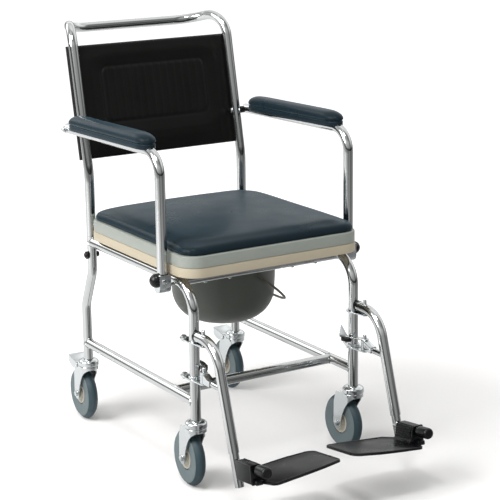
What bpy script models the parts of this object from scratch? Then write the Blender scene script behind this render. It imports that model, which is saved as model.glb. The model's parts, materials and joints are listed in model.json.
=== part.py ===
"""Wheeled commode chair: chromed tube frame on four casters, with a padded lift-off seat over
a commode seat and bucket, flip-up armrests and swing-away footrests. Metres, +Z up, the chair
faces -Y, and right and left are the sitter's own. The origin is on the floor under the middle
of the overall length."""

import math

import bmesh
import bpy
from mathutils import Matrix, Vector

# Tubes and clearances
TUBE_R = 0.011
TUBE_SIDES = 12
GAP = 0.0003
BOLT_R = 0.0033
HOLE_PLAY = 0.0004
BEND_STEP = math.radians(19)

# Frame
FRONT_LEG_Y = -0.180
REAR_LEG_PAST_POST = 0.0397
LEG_BOTTOM_Z = 0.157
RAIL_Z = 0.4453
FRONT_BEND_R = 0.062
SIDE_BAR_Z = 0.1955
CROSSBAR_FROM_FRONT = 0.0885
SEAT_BAR_FROM_FRONT = 0.0565
S_BEND_LOW_Z = 0.290
S_BEND_HIGH_Z = 0.378
S_BEND_R = 0.060
LEG_TOP_Z = 0.460
SPIGOT_R = 0.0092
SPIGOT_LENGTH = 0.058
JOINT_BOLT_Z = 0.416
BACK_BAR_Z = 0.487
POST_BEND_Z = 0.6025
POST_BEND_R = 0.200
POST_LEAN = 0.2024
BACK_CORNER_Z = 0.9379
BACK_CORNER_R = 0.054
PUSH_BAR_SETBACK = 0.0967
PUSH_BAR_DROP = 0.025
PUSH_BAR_INSET = 0.0400
PUSH_BAR_R = 0.070

# Casters
WHEEL_R = 0.0625
TYRE_WIDTH = 0.024
TYRE_STEPS = 26
TYRE_SEAT_R = 0.0305
HUB_WIDTH = 0.0262
AXLE_R = 0.0038
CASTER_TRAIL = 0.035
CASTER_HEAD_R = 0.0238
CASTER_HEAD_BOTTOM_Z = 0.1412
KINGPIN_R = 0.0042
FORK_HALF_WIDTH = 0.0186
FORK_WALL = 0.0022
FORK_PLATE = 0.0026
SKIRT_R = 0.0226
SKIRT_DROP = 0.0090
EYE_R = 0.013
CHEEK_TOP_BACK = 0.039
CASTER_TURN = {"front_right": -4.5, "front_left": 2.0, "rear_right": -3.0, "rear_left": 0.0}

# Brake pedals on the rear casters
PEDAL_PIVOT_BACK = 0.0290
PEDAL_PIVOT_Z = 0.1330
PEDAL_PIN_R = 0.0028
PEDAL_HALF_WIDTH = 0.0206
PEDAL_THICK = 0.0016
PEDAL_LIP = 0.0048

# Seat
SEAT_HALF_WIDTH = 0.2205
SEAT_PAST_RAIL = 0.0197
SEAT_FRONT_FROM_LEG = 0.0095
SEAT_DEPTH = 0.457
SEAT_TO_POST = 0.0058
SEAT_CORNER_R = 0.045
SEAT_SKIRT_Z = 0.4625
SEAT_TOP_Z = 0.483
SEAT_WALL = 0.004
SEAT_RIB = 0.003
SEAT_HOLE_R = 0.108
SEAT_COLLAR_DROP = 0.026
BOARD_THICK = 0.0247
BOARD_INSET = 0.0010
CUSHION_EDGE = 0.0175
CUSHION_CROWN = 0.021
CUSHION_INSET = 0.0012

# Bucket, its guide rod and its bail
BUCKET_FROM_FRONT = 0.2185
BUCKET_R = 0.1187
BUCKET_BOTTOM_Z = 0.295
BUCKET_CORNER_R = 0.070
BUCKET_TAPER = 0.0040
BUCKET_WALL = 0.0025
BUCKET_STEPS = 26
BUCKET_RIM = 0.0153
GUIDE_R = 0.004
GUIDE_Z = 0.438
GUIDE_CLEAR = 0.0043
GUIDE_REAR_TO_POST = 0.0468
BAIL_R = 0.0028
BAIL_PAST_BUCKET = 0.0475
BAIL_ANGLE = math.radians(38)
BAIL_PIVOT_Z = 0.428
BAIL_PIN_R = 0.003

# Backrest panel
PANEL_PAST_POST = 0.0097
PANEL_BOTTOM_Z = 0.633
PANEL_HEIGHT = 0.257
PANEL_THICK = 0.0125
PANEL_BORDER = 0.0755
PANEL_FIELD_LOW = 0.078
PANEL_FIELD_HIGH = 0.205
PANEL_RIBS = 14
PANEL_RIB_HEIGHT = 0.0012

# Armrests
ARM_TO_SEAT = 0.0030
ARM_FROM_FRONT = 0.0685
ARM_PIVOT_Z = 0.707
ARM_RISE = 0.0232
ARM_BEND_R = 0.050
ARM_BOTTOM_Z = 0.441
ARM_TAIL = 0.012
PAD_HALF_WIDTH = 0.0220
PAD_FRONT_PAST_UPRIGHT = -0.022
PAD_REAR_BEFORE_PIVOT = 0.0165
PAD_LOW = 0.002
PAD_SEAM = 0.0165
PAD_TOP = 0.0355
STUD_R = 0.0035
STUD_GRIP = 0.0070
LOCK_PIN_Z = 0.450
LOCK_TOP_Z = 0.4620
LOCK_BOTTOM_Z = 0.4264
LOCK_HALF_DEPTH = 0.0135
LOCK_WALL = 0.0025
LOCK_TO_SEAT = 0.0010
KNOB_R = 0.015
KNOB_HEIGHT = 0.0155

# Footrests
HANGER_OUT = 0.0017
HANGER_Z = 0.3425
HANGER_BACK = 0.0140
HANGER_CORNER = 0.0913
HANGER_BEND_R = 0.065
HANGER_SLOPE = 0.3071
HANGER_END_Z = 0.1325
SWING_AHEAD = 0.041
HINGE_PIN_R = 0.004
UPPER_PIN_TIP_Z = 0.3625
LOWER_PLATE_Z = 0.2485
LOWER_PIN_TIP_Z = 0.283
PLATE_THICK = 0.003
PLATE_EAR_R = 0.0095
PLATE_RING_R = 0.0175
CLAMP_BOLT_BACK = 0.032
CLAMP_BOLT_OUT = 0.0066
COLLAR_WALL = 0.0032
COLLAR_HEIGHT = 0.020
SLEEVE_R = 0.0085
SLEEVE_HEIGHT = 0.023
STRUT_R = 0.0065
EXTENSION_R = 0.0095
EXTENSION_INSIDE = 0.095
EXTENSION_END_Z = 0.066
FOOT_IN = 0.0035
FOOT_AHEAD = 0.206
FOOT_Z = 0.1195
FOOT_TILT = math.radians(7)
BLOCK_OUT = 0.0135
BLOCK_IN = 0.0150
BLOCK_UP = 0.0095
BLOCK_DOWN = 0.0310
BLOCK_BACK = 0.0285
BLOCK_FRONT = 0.0315
BLOCK_FINS = 5
FOOTPLATE_TIP_X = 0.0210
FOOTPLATE_BACK = 0.055
FOOTPLATE_FRONT = 0.060
FOOTPLATE_THICK = 0.006
FOOTPLATE_RISE = math.radians(5.3)
FOOT_PIN_R = 0.0042
BUMPER_R = 0.012
BUMPER_LENGTH = 0.0405
LATCH_THICK = 0.008

# Places that follow from the sizes above
FRAME_X = SEAT_HALF_WIDTH - SEAT_PAST_RAIL
ARM_X = SEAT_HALF_WIDTH + ARM_TO_SEAT + TUBE_R
HANGER_X = FRAME_X + HANGER_OUT
FOOT_X = HANGER_X - FOOT_IN
FOOTPLATE_REACH = FOOT_X - FOOTPLATE_TIP_X
PANEL_HALF_WIDTH = FRAME_X + PANEL_PAST_POST
PANEL_FIELD_HALF = PANEL_HALF_WIDTH - PANEL_BORDER
POST_Y = FRONT_LEG_Y - SEAT_FRONT_FROM_LEG + SEAT_DEPTH + SEAT_TO_POST + TUBE_R
REAR_LEG_Y = POST_Y + REAR_LEG_PAST_POST
CROSSBAR_Y = FRONT_LEG_Y + CROSSBAR_FROM_FRONT
SEAT_BAR_Y = FRONT_LEG_Y + SEAT_BAR_FROM_FRONT
SEAT_FRONT_Y = FRONT_LEG_Y - SEAT_FRONT_FROM_LEG
SEAT_MID_Y = SEAT_FRONT_Y + SEAT_DEPTH / 2
BUCKET_Y = FRONT_LEG_Y + BUCKET_FROM_FRONT
BUCKET_RIM_R = BUCKET_R + BUCKET_RIM
GUIDE_HALF_WIDTH = BUCKET_R + GUIDE_R + GUIDE_CLEAR
BAIL_REACH = BUCKET_R + BAIL_PAST_BUCKET
ARM_Y = FRONT_LEG_Y + ARM_FROM_FRONT
LOCK_INNER_X = SEAT_HALF_WIDTH + LOCK_TO_SEAT
STUD_Z = ARM_BOTTOM_Z - GAP - STUD_R
SWING_Y = FRONT_LEG_Y - SWING_AHEAD
FOOT_Y = FRONT_LEG_Y - FOOT_AHEAD
FORK_TOP_Z = CASTER_HEAD_BOTTOM_Z - GAP
SIDES = {"right": -1, "left": 1}
Z = Vector((0, 0, 1))
SIDE_VIEW = Matrix(((0, 0, 1, 0), (1, 0, 0, 0), (0, 1, 0, 0), (0, 0, 0, 1)))


def post_y(z):
    """The back post's axis at height z."""
    return POST_Y + max(0.0, z - POST_BEND_Z) * POST_LEAN


def hanger_y(z):
    """The sloping part of a footrest hanger's axis at height z."""
    corner_y = FRONT_LEG_Y - HANGER_CORNER
    return corner_y - (HANGER_Z - z) * HANGER_SLOPE


# Scene, collections and materials

def clear_scene():
    for obj in list(bpy.data.objects):
        bpy.data.objects.remove(obj, do_unlink=True)


def new_collection(name):
    collection = bpy.data.collections.new(name)
    bpy.context.scene.collection.children.link(collection)
    return collection


def new_material(name, colour, roughness, metallic=0.0):
    material = bpy.data.materials.new(name)
    material.use_nodes = True
    shader = material.node_tree.nodes["Principled BSDF"]
    shader.inputs["Base Color"].default_value = (*colour, 1.0)
    shader.inputs["Roughness"].default_value = roughness
    shader.inputs["Metallic"].default_value = metallic
    material.diffuse_color = (*colour, 1.0)
    return material


clear_scene()
PARTS = new_collection("wheeled_commode_chair")
CUTTERS = new_collection("cutters")
CHROME = new_material("chrome", (0.78, 0.79, 0.80), 0.12, 1.0)
ZINC = new_material("zinc_plated_steel", (0.62, 0.61, 0.57), 0.35, 1.0)
BLACK_PLASTIC = new_material("black_plastic", (0.02, 0.02, 0.02), 0.45)
GREY_PLASTIC = new_material("grey_plastic", (0.36, 0.40, 0.38), 0.40)
BEIGE_PLASTIC = new_material("beige_plastic", (0.62, 0.54, 0.42), 0.40)
BUCKET_PLASTIC = new_material("bucket_plastic", (0.10, 0.11, 0.10), 0.35)
HUB_PLASTIC = new_material("hub_plastic", (0.58, 0.54, 0.44), 0.45)
TYRE_RUBBER = new_material("tyre_rubber", (0.09, 0.12, 0.14), 0.60)
SEAT_VINYL = new_material("seat_vinyl", (0.035, 0.05, 0.062), 0.38)
BACK_VINYL = new_material("back_vinyl", (0.006, 0.006, 0.006), 0.45)


# Solids

def place(obj, name, material, collection):
    """Name an object, give it its material and put it in its collection."""
    obj.name = name
    obj.data.name = name
    obj.data.materials.clear()
    obj.data.materials.append(material)
    for old in list(obj.users_collection):
        old.objects.unlink(obj)
    collection.objects.link(obj)
    if collection is CUTTERS:
        obj.hide_render = True
        obj.display_type = "WIRE"
    return obj


def from_bmesh(name, bm, material=CHROME, collection=PARTS):
    mesh = bpy.data.meshes.new(name)
    bm.to_mesh(mesh)
    bm.free()
    mesh.shade_smooth()
    mesh.set_sharp_from_angle(angle=math.radians(35))
    obj = bpy.data.objects.new(name, mesh)
    bpy.context.scene.collection.objects.link(obj)
    return place(obj, name, material, collection)


def turn_to(direction):
    """The turn that takes +Z to a direction."""
    return Z.rotation_difference(Vector(direction)).to_matrix().to_4x4()


def rod(name, start, end, radius, material=CHROME, collection=PARTS, sides=24):
    """A straight round bar between two points."""
    start, end = Vector(start), Vector(end)
    bm = bmesh.new()
    bmesh.ops.create_cone(bm, cap_ends=True, segments=sides, radius1=radius, radius2=radius,
                          depth=(end - start).length)
    place_matrix = Matrix.Translation((start + end) / 2) @ turn_to(end - start)
    bmesh.ops.transform(bm, matrix=place_matrix, verts=bm.verts)
    return from_bmesh(name, bm, material, collection)


def box(name, low, high, material=CHROME, collection=PARTS, turn=None, bevel=0.0):
    """A box between two corners, bevelled and then turned by a matrix if one is given."""
    low, high = Vector(low), Vector(high)
    bm = bmesh.new()
    bmesh.ops.create_cube(bm, size=1.0)
    bmesh.ops.scale(bm, vec=[abs(side) for side in high - low], verts=bm.verts)
    if bevel:
        bmesh.ops.bevel(bm, geom=bm.edges[:], offset=bevel, segments=2, affect="EDGES", profile=0.5)
    bmesh.ops.translate(bm, vec=(low + high) / 2, verts=bm.verts)
    if turn is not None:
        bmesh.ops.transform(bm, matrix=turn, verts=bm.verts)
    return from_bmesh(name, bm, material, collection)


def turned(name, profile, matrix, steps, material=CHROME, collection=PARTS, closed=False):
    """A profile of (radius, height) points, listed down its outer side, turned about local Z."""
    bm = bmesh.new()
    points = [bm.verts.new((radius, 0.0, height)) for radius, height in profile]
    for first, second in zip(points, points[1:]):
        bm.edges.new((first, second))
    if closed:
        bm.edges.new((points[-1], points[0]))
    obj = from_bmesh(name, bm, material, collection)
    obj.matrix_world = matrix
    screw = obj.modifiers.new("turn", "SCREW")
    screw.axis = "Z"
    screw.steps = steps
    screw.render_steps = steps
    screw.use_merge_vertices = True
    screw.merge_threshold = 0.00001
    screw.use_smooth_shade = True
    return obj


def bent(points, radii, step=BEND_STEP):
    """A path through corner points, with each inner corner rounded to its radius."""
    points = [Vector(point) for point in points]
    path = [points[0]]
    for before, corner, after, radius in zip(points, points[1:], points[2:], radii):
        back, ahead = (before - corner).normalized(), (after - corner).normalized()
        turn = math.pi - back.angle(ahead)
        reach = radius * math.tan(turn / 2)
        centre = corner + (back + ahead).normalized() * radius / math.cos(turn / 2)
        count = max(2, math.ceil(turn / step))
        start = corner + back * reach - centre
        axis = start.cross(corner + ahead * reach - centre)
        for index in range(count + 1):
            path.append(centre + Matrix.Rotation(turn * index / count, 3, axis) @ start)
    path.append(points[-1])
    return path


def to_solid(obj):
    """A curve's evaluated shape as a mesh object with welded caps, so that it can be cut."""
    bpy.context.view_layer.update()
    graph = bpy.context.evaluated_depsgraph_get()
    mesh = bpy.data.meshes.new_from_object(obj.evaluated_get(graph))
    bm = bmesh.new()
    bm.from_mesh(mesh)
    bmesh.ops.transform(bm, matrix=obj.matrix_world, verts=bm.verts)
    bmesh.ops.remove_doubles(bm, verts=bm.verts, dist=0.00001)
    bmesh.ops.recalc_face_normals(bm, faces=bm.faces)
    bm.to_mesh(mesh)
    bm.free()
    mesh.shade_smooth()
    mesh.set_sharp_from_angle(angle=math.radians(35))
    solid = bpy.data.objects.new(obj.name + "_solid", mesh)
    name, material = obj.name, obj.data.materials[0]
    collection = obj.users_collection[0]
    bpy.data.objects.remove(obj, do_unlink=True)
    collection.objects.link(solid)
    return place(solid, name, material, collection)


def tube(name, path, radius=TUBE_R, material=CHROME, collection=PARTS, sides=TUBE_SIDES):
    """A round tube along a path of points."""
    curve = bpy.data.curves.new(name, "CURVE")
    curve.dimensions = "3D"
    curve.bevel_depth = radius
    curve.bevel_resolution = sides // 2 - 2
    curve.use_fill_caps = True
    spline = curve.splines.new("POLY")
    spline.points.add(len(path) - 1)
    for point, place_point in zip(spline.points, path):
        point.co = (*place_point, 1.0)
    obj = bpy.data.objects.new(name, curve)
    bpy.context.scene.collection.objects.link(obj)
    return to_solid(place(obj, name, material, collection))


def plate(name, outline, thickness, matrix, material=CHROME, collection=PARTS):
    """A flat outline, centred on its thickness, placed by a matrix from its own XY plane."""
    curve = bpy.data.curves.new(name, "CURVE")
    curve.dimensions = "2D"
    curve.fill_mode = "BOTH"
    curve.extrude = thickness / 2
    spline = curve.splines.new("POLY")
    spline.points.add(len(outline) - 1)
    for point, (x, y) in zip(spline.points, outline):
        point.co = (x, y, 0.0, 1.0)
    spline.use_cyclic_u = True
    obj = bpy.data.objects.new(name, curve)
    bpy.context.scene.collection.objects.link(obj)
    obj.matrix_world = matrix
    return to_solid(place(obj, name, material, collection))


def boolean(target, other, operation):
    modifier = target.modifiers.new(operation.lower() + "_" + other.name, "BOOLEAN")
    modifier.operation = operation
    modifier.solver = "EXACT"
    modifier.object = other
    if other.users_collection[0] is not CUTTERS:
        place(other, other.name, other.data.materials[0], CUTTERS)
    return target


def cut(target, *others):
    for other in others:
        boolean(target, other, "DIFFERENCE")
    return target


def join(target, *others):
    for other in others:
        boolean(target, other, "UNION")
    return target


def cutter_rod(start, end, radius, sides=24):
    return rod("cutter", start, end, radius, collection=CUTTERS, sides=sides)


def cope(target, path):
    """Shape a tube's end to seat on another tube whose path is given."""
    return cut(target, tube("cope", path, TUBE_R + GAP, collection=CUTTERS, sides=24))


def stack(name, rings, material, matrix=None):
    """A solid through equal rings of points, made by extruding the first ring's edge."""
    bm = bmesh.new()
    made = bmesh.ops.create_circle(bm, cap_ends=False, segments=len(rings[0]), radius=1.0)
    ring = made["verts"]
    for vert, point in zip(ring, rings[0]):
        vert.co = point
    edges = bm.edges[:]
    bmesh.ops.contextual_create(bm, geom=edges)
    for points in rings[1:]:
        grown = bmesh.ops.extrude_edge_only(bm, edges=edges)
        new_verts = [item for item in grown["geom"] if isinstance(item, bmesh.types.BMVert)]
        edges = [item for item in grown["geom"] if isinstance(item, bmesh.types.BMEdge)]
        for vert, point in zip(new_verts, points):
            vert.co = point
    bmesh.ops.contextual_create(bm, geom=edges)
    bmesh.ops.recalc_face_normals(bm, faces=bm.faces)
    obj = from_bmesh(name, bm, material)
    if matrix is not None:
        obj.matrix_world = matrix
    return obj


def rounded_rectangle(half_x, half_y, radius, per_corner=5, centre=(0.0, 0.0)):
    """A rounded rectangle's outline, counter-clockwise."""
    points = []
    for quarter, (sx, sy) in enumerate(((1, 1), (-1, 1), (-1, -1), (1, -1))):
        for index in range(per_corner):
            angle = math.pi / 2 * (quarter + index / (per_corner - 1))
            points.append((centre[0] + sx * (half_x - radius) + radius * math.cos(angle),
                           centre[1] + sy * (half_y - radius) + radius * math.sin(angle)))
    return points


def arc(centre, radius, start, end, count):
    """Points on an arc, with angles in degrees."""
    angles = [math.radians(start + (end - start) * index / count) for index in range(count + 1)]
    return [(centre[0] + radius * math.cos(a), centre[1] + radius * math.sin(a)) for a in angles]


def joint_axis(name, location, pieces):
    """An empty on a joint's axis that carries the pieces that move about it."""
    empty = bpy.data.objects.new(name, None)
    PARTS.objects.link(empty)
    empty.location = location
    bpy.context.view_layer.update()
    for piece in pieces:
        piece.parent = empty
        piece.matrix_parent_inverse = empty.matrix_world.inverted()
    return empty


# Frame

def rail_path(side):
    x = side * FRAME_X
    return bent([(x, POST_Y, RAIL_Z), (x, FRONT_LEG_Y, RAIL_Z), (x, FRONT_LEG_Y, LEG_BOTTOM_Z)],
                [FRONT_BEND_R])


def build_side_rail(name, side):
    """Seat rail and front leg in one bent tube, with the stud that the armrest rests on."""
    x = side * FRAME_X
    rail = tube(name, rail_path(side))
    cope(rail, [(x, POST_Y, LEG_TOP_Z + TUBE_R), (x, POST_Y, S_BEND_HIGH_Z)])
    stud_start, stud_end = x + side * TUBE_R / 2, side * (LOCK_INNER_X + STUD_GRIP)
    stud = rod(name + "_stud", (stud_start, ARM_Y, STUD_Z), (stud_end, ARM_Y, STUD_Z), STUD_R,
               sides=12)
    return join(rail, stud)


def build_rear_leg(name, side):
    """Lower rear leg with its S-bend, bored at the top for the back frame's spigot."""
    x = side * FRAME_X
    path = bent([(x, REAR_LEG_Y, LEG_BOTTOM_Z), (x, REAR_LEG_Y, S_BEND_LOW_Z),
                 (x, POST_Y, S_BEND_HIGH_Z), (x, POST_Y, LEG_TOP_Z)], [S_BEND_R, S_BEND_R])
    leg = tube(name, path)
    bore_bottom = LEG_TOP_Z - SPIGOT_LENGTH - HOLE_PLAY
    cut(leg, cutter_rod((x, POST_Y, bore_bottom), (x, POST_Y, LEG_TOP_Z + TUBE_R),
                        SPIGOT_R + HOLE_PLAY, sides=16))
    reach = 2 * TUBE_R
    cut(leg, cutter_rod((x - reach, POST_Y, JOINT_BOLT_Z), (x + reach, POST_Y, JOINT_BOLT_Z),
                        BOLT_R + HOLE_PLAY, sides=12))
    return leg


def build_back_frame():
    """Posts and push bar in one bent tube, with its welded cross tube, spigots and bolt holes."""
    foot_z = LEG_TOP_Z + GAP
    half = []
    for side in (-1, 1):
        corner_y = post_y(BACK_CORNER_Z)
        half.append([(side * FRAME_X, POST_Y, foot_z), (side * FRAME_X, POST_Y, POST_BEND_Z),
                     (side * FRAME_X, corner_y, BACK_CORNER_Z),
                     (side * (FRAME_X - PUSH_BAR_INSET), corner_y + PUSH_BAR_SETBACK,
                      BACK_CORNER_Z - PUSH_BAR_DROP)])
    radii = [POST_BEND_R, BACK_CORNER_R, PUSH_BAR_R]
    frame = tube("back_frame", bent(half[0] + half[1][::-1], radii + radii[::-1]))
    cross = tube("back_cross", [(-FRAME_X, POST_Y, BACK_BAR_Z), (FRAME_X, POST_Y, BACK_BAR_Z)])
    join(frame, cross)
    reach = FRAME_X + 2 * TUBE_R
    for side in (-1, 1):
        x = side * FRAME_X
        join(frame, rod("spigot", (x, POST_Y, LEG_TOP_Z - SPIGOT_LENGTH),
                        (x, POST_Y, foot_z + TUBE_R), SPIGOT_R, sides=16))
    cut(frame, cutter_rod((-reach, POST_Y, JOINT_BOLT_Z), (reach, POST_Y, JOINT_BOLT_Z),
                          BOLT_R + HOLE_PLAY, sides=12))
    pivot_y = post_y(ARM_PIVOT_Z)
    cut(frame, cutter_rod((-reach, pivot_y, ARM_PIVOT_Z), (reach, pivot_y, ARM_PIVOT_Z),
                          BOLT_R + HOLE_PLAY, sides=12))
    return frame


def build_side_bar(name, side):
    x = side * FRAME_X
    bar = tube(name, [(x, FRONT_LEG_Y, SIDE_BAR_Z), (x, REAR_LEG_Y, SIDE_BAR_Z)])
    for leg_y in (FRONT_LEG_Y, REAR_LEG_Y):
        cope(bar, [(x, leg_y, LEG_BOTTOM_Z), (x, leg_y, S_BEND_LOW_Z)])
    return bar


def build_crossbar():
    bar = tube("crossbar", [(-FRAME_X, CROSSBAR_Y, SIDE_BAR_Z), (FRAME_X, CROSSBAR_Y, SIDE_BAR_Z)])
    for x in (-FRAME_X, FRAME_X):
        cope(bar, [(x, FRONT_LEG_Y, SIDE_BAR_Z), (x, REAR_LEG_Y, SIDE_BAR_Z)])
    return bar


def build_seat_front_bar():
    bar = tube("seat_front_bar", [(-FRAME_X, SEAT_BAR_Y, RAIL_Z), (FRAME_X, SEAT_BAR_Y, RAIL_Z)])
    for side in (-1, 1):
        cope(bar, rail_path(side))
    return bar


def build_joint_bolt(name, side):
    """The bolt that holds a back post in its leg, with a black cap on each end."""
    x = side * FRAME_X
    face = TUBE_R + GAP
    outer, inner = x + side * face, x - side * face
    into_cap = side * 0.002
    bolt = rod(name, (outer + into_cap, POST_Y, JOINT_BOLT_Z),
               (inner - into_cap, POST_Y, JOINT_BOLT_Z), BOLT_R, BLACK_PLASTIC, sides=8)
    caps = ((outer, 0.0045, 0.0088), (outer, 0.0085, 0.0068), (inner, -0.0050, 0.0068))
    for index, (start, height, radius) in enumerate(caps):
        join(bolt, rod(name + "_cap%d" % index, (start, POST_Y, JOINT_BOLT_Z),
                       (start + side * height, POST_Y, JOINT_BOLT_Z), radius, BLACK_PLASTIC,
                       sides=12))
    return bolt


# Casters

def leg_place(corner):
    end, side = corner.split("_")
    y = FRONT_LEG_Y if end == "front" else REAR_LEG_Y
    return Vector((SIDES[side] * FRAME_X, y, 0.0))


def caster_matrix(corner):
    """From a caster's own frame, with its swivel axis at the origin, to the chair."""
    turn = Matrix.Rotation(math.radians(CASTER_TURN[corner]), 4, "Z")
    return Matrix.Translation(leg_place(corner)) @ turn


def build_caster_head(corner):
    """Fixed domed head with its kingpin and nut, under the leg."""
    rim_top = CASTER_HEAD_BOTTOM_Z + 0.0075
    shoulder = rim_top + 0.0065
    nut_top = FORK_TOP_Z - FORK_PLATE - GAP
    profile = [(0.0, LEG_BOTTOM_Z - GAP), (0.0122, LEG_BOTTOM_Z - GAP), (0.0128, shoulder),
               (0.0215, rim_top + 0.002), (CASTER_HEAD_R, rim_top),
               (CASTER_HEAD_R, CASTER_HEAD_BOTTOM_Z), (KINGPIN_R, CASTER_HEAD_BOTTOM_Z),
               (KINGPIN_R, nut_top), (0.0075, nut_top), (0.0075, nut_top - 0.005),
               (0.0, nut_top - 0.005)]
    return turned("caster_head_" + corner, profile, Matrix.Translation(leg_place(corner)), 16, ZINC)


def cheek_profile():
    """Side view of the fork: open front, swept front edge, round eye and upright rear edge."""
    top, skirt_low = FORK_TOP_Z + FORK_WALL, FORK_TOP_Z - SKIRT_DROP
    front = -2 * SKIRT_R
    start = Vector((-FORK_HALF_WIDTH, skirt_low))
    middle = Vector((FORK_HALF_WIDTH - 0.006, WHEEL_R + 0.046))
    end = Vector((CASTER_TRAIL - EYE_R, WHEEL_R + 0.004))
    points = [(front, top), (front, skirt_low)]
    count = 5
    for index in range(count + 1):
        t = index / count
        point = start * (1 - t) ** 2 + middle * 2 * t * (1 - t) + end * t ** 2
        points.append((point.x, point.y))
    points += arc((CASTER_TRAIL, WHEEL_R), EYE_R, 190, 360, 6)
    step, step_z = SKIRT_R + 3 * GAP, PEDAL_PIVOT_Z + 0.0034
    return points + [(CASTER_TRAIL + EYE_R - 0.0015, WHEEL_R + 0.050), (CHEEK_TOP_BACK, step_z),
                     (step, step_z), (step, top)]


def build_fork_mesh(pedal_holes):
    """Pressed fork: round cap with a skirt, cheeks in one U, axle and bolt heads."""
    bore = KINGPIN_R + HOLE_PLAY
    skirt_low, plate_under = FORK_TOP_Z - SKIRT_DROP, FORK_TOP_Z - FORK_PLATE
    profile = [(bore, FORK_TOP_Z), (SKIRT_R - 0.0015, FORK_TOP_Z), (SKIRT_R, FORK_TOP_Z - 0.0015),
               (SKIRT_R, skirt_low), (SKIRT_R - FORK_WALL, skirt_low),
               (SKIRT_R - FORK_WALL, plate_under), (bore, plate_under)]
    fork = turned("fork", profile, Matrix(), 16, ZINC, closed=True)
    back = CASTER_TRAIL + 2 * EYE_R
    inner_half = FORK_HALF_WIDTH - FORK_WALL
    outline = [(-FORK_HALF_WIDTH, back)] + arc((0.0, 0.0), FORK_HALF_WIDTH, 180, 360, 8)
    outline += [(FORK_HALF_WIDTH, back), (inner_half, back)]
    outline += arc((0.0, 0.0), inner_half, 360, 180, 8) + [(-inner_half, back)]
    low, high = WHEEL_R - 2 * EYE_R, FORK_TOP_Z - FORK_PLATE / 5
    cheeks = plate("fork_cheeks", outline, high - low,
                   Matrix.Translation((0.0, 0.0, (low + high) / 2)), ZINC)
    boolean(cheeks, plate("fork_side", cheek_profile(), 4 * FORK_HALF_WIDTH, SIDE_VIEW, ZINC),
            "INTERSECT")
    join(fork, cheeks)
    axle_end = FORK_HALF_WIDTH + 0.0045
    join(fork, rod("axle", (-axle_end + 0.001, CASTER_TRAIL, WHEEL_R),
                   (axle_end - 0.001, CASTER_TRAIL, WHEEL_R), AXLE_R, ZINC, sides=12))
    for side in (-1, 1):
        join(fork, rod("axle_head", (side * (FORK_HALF_WIDTH - 0.001), CASTER_TRAIL, WHEEL_R),
                       (side * axle_end, CASTER_TRAIL, WHEEL_R), 0.0068, ZINC, sides=6))
    if pedal_holes:
        reach = 2 * FORK_HALF_WIDTH
        cut(fork, cutter_rod((-reach, PEDAL_PIVOT_BACK, PEDAL_PIVOT_Z),
                             (reach, PEDAL_PIVOT_BACK, PEDAL_PIVOT_Z), PEDAL_PIN_R + HOLE_PLAY,
                             sides=12))
    bpy.context.view_layer.update()
    graph = bpy.context.evaluated_depsgraph_get()
    mesh = bpy.data.meshes.new_from_object(fork.evaluated_get(graph))
    bpy.data.objects.remove(fork, do_unlink=True)
    mesh.shade_smooth()
    mesh.set_sharp_from_angle(angle=math.radians(35))
    return mesh


def wheel_matrix(corner):
    """From a wheel's own frame, turned about Z, to its axle."""
    axle = Matrix.Translation((0.0, CASTER_TRAIL, WHEEL_R))
    return caster_matrix(corner) @ axle @ Matrix.Rotation(math.pi / 2, 4, "Y")


def build_hub(corner):
    half, rim = HUB_WIDTH / 2, TYRE_SEAT_R - GAP
    bore = AXLE_R + HOLE_PLAY
    profile = [(0.0090, half), (0.0110, half - 0.0055), (0.0245, half - 0.0055),
               (0.0262, half - 0.0035), (rim, half - 0.0035)]
    profile = profile + [(radius, -height) for radius, height in profile[::-1]]
    profile = [(bore, half)] + profile + [(bore, -half)]
    return turned("hub_" + corner, profile, wheel_matrix(corner), 16, HUB_PLASTIC, closed=True)


def build_tyre(corner):
    half = TYRE_WIDTH / 2
    shoulder = 0.0095
    outer_r = WHEEL_R / math.cos(math.pi / TYRE_STEPS)
    outer = [(outer_r - shoulder + shoulder * math.sin(a), half - shoulder + shoulder * math.cos(a))
             for a in (math.radians(8), math.radians(45), math.radians(90))]
    profile = [(TYRE_SEAT_R, half - 0.0035), (TYRE_SEAT_R + 0.0045, half - 0.0006)] + outer
    profile = profile + [(radius, -height) for radius, height in profile[::-1]]
    flat_down = Matrix.Rotation(math.pi / TYRE_STEPS, 4, "Z")
    return turned("tyre_" + corner, profile, wheel_matrix(corner) @ flat_down, TYRE_STEPS,
                  TYRE_RUBBER, closed=True)


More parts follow.
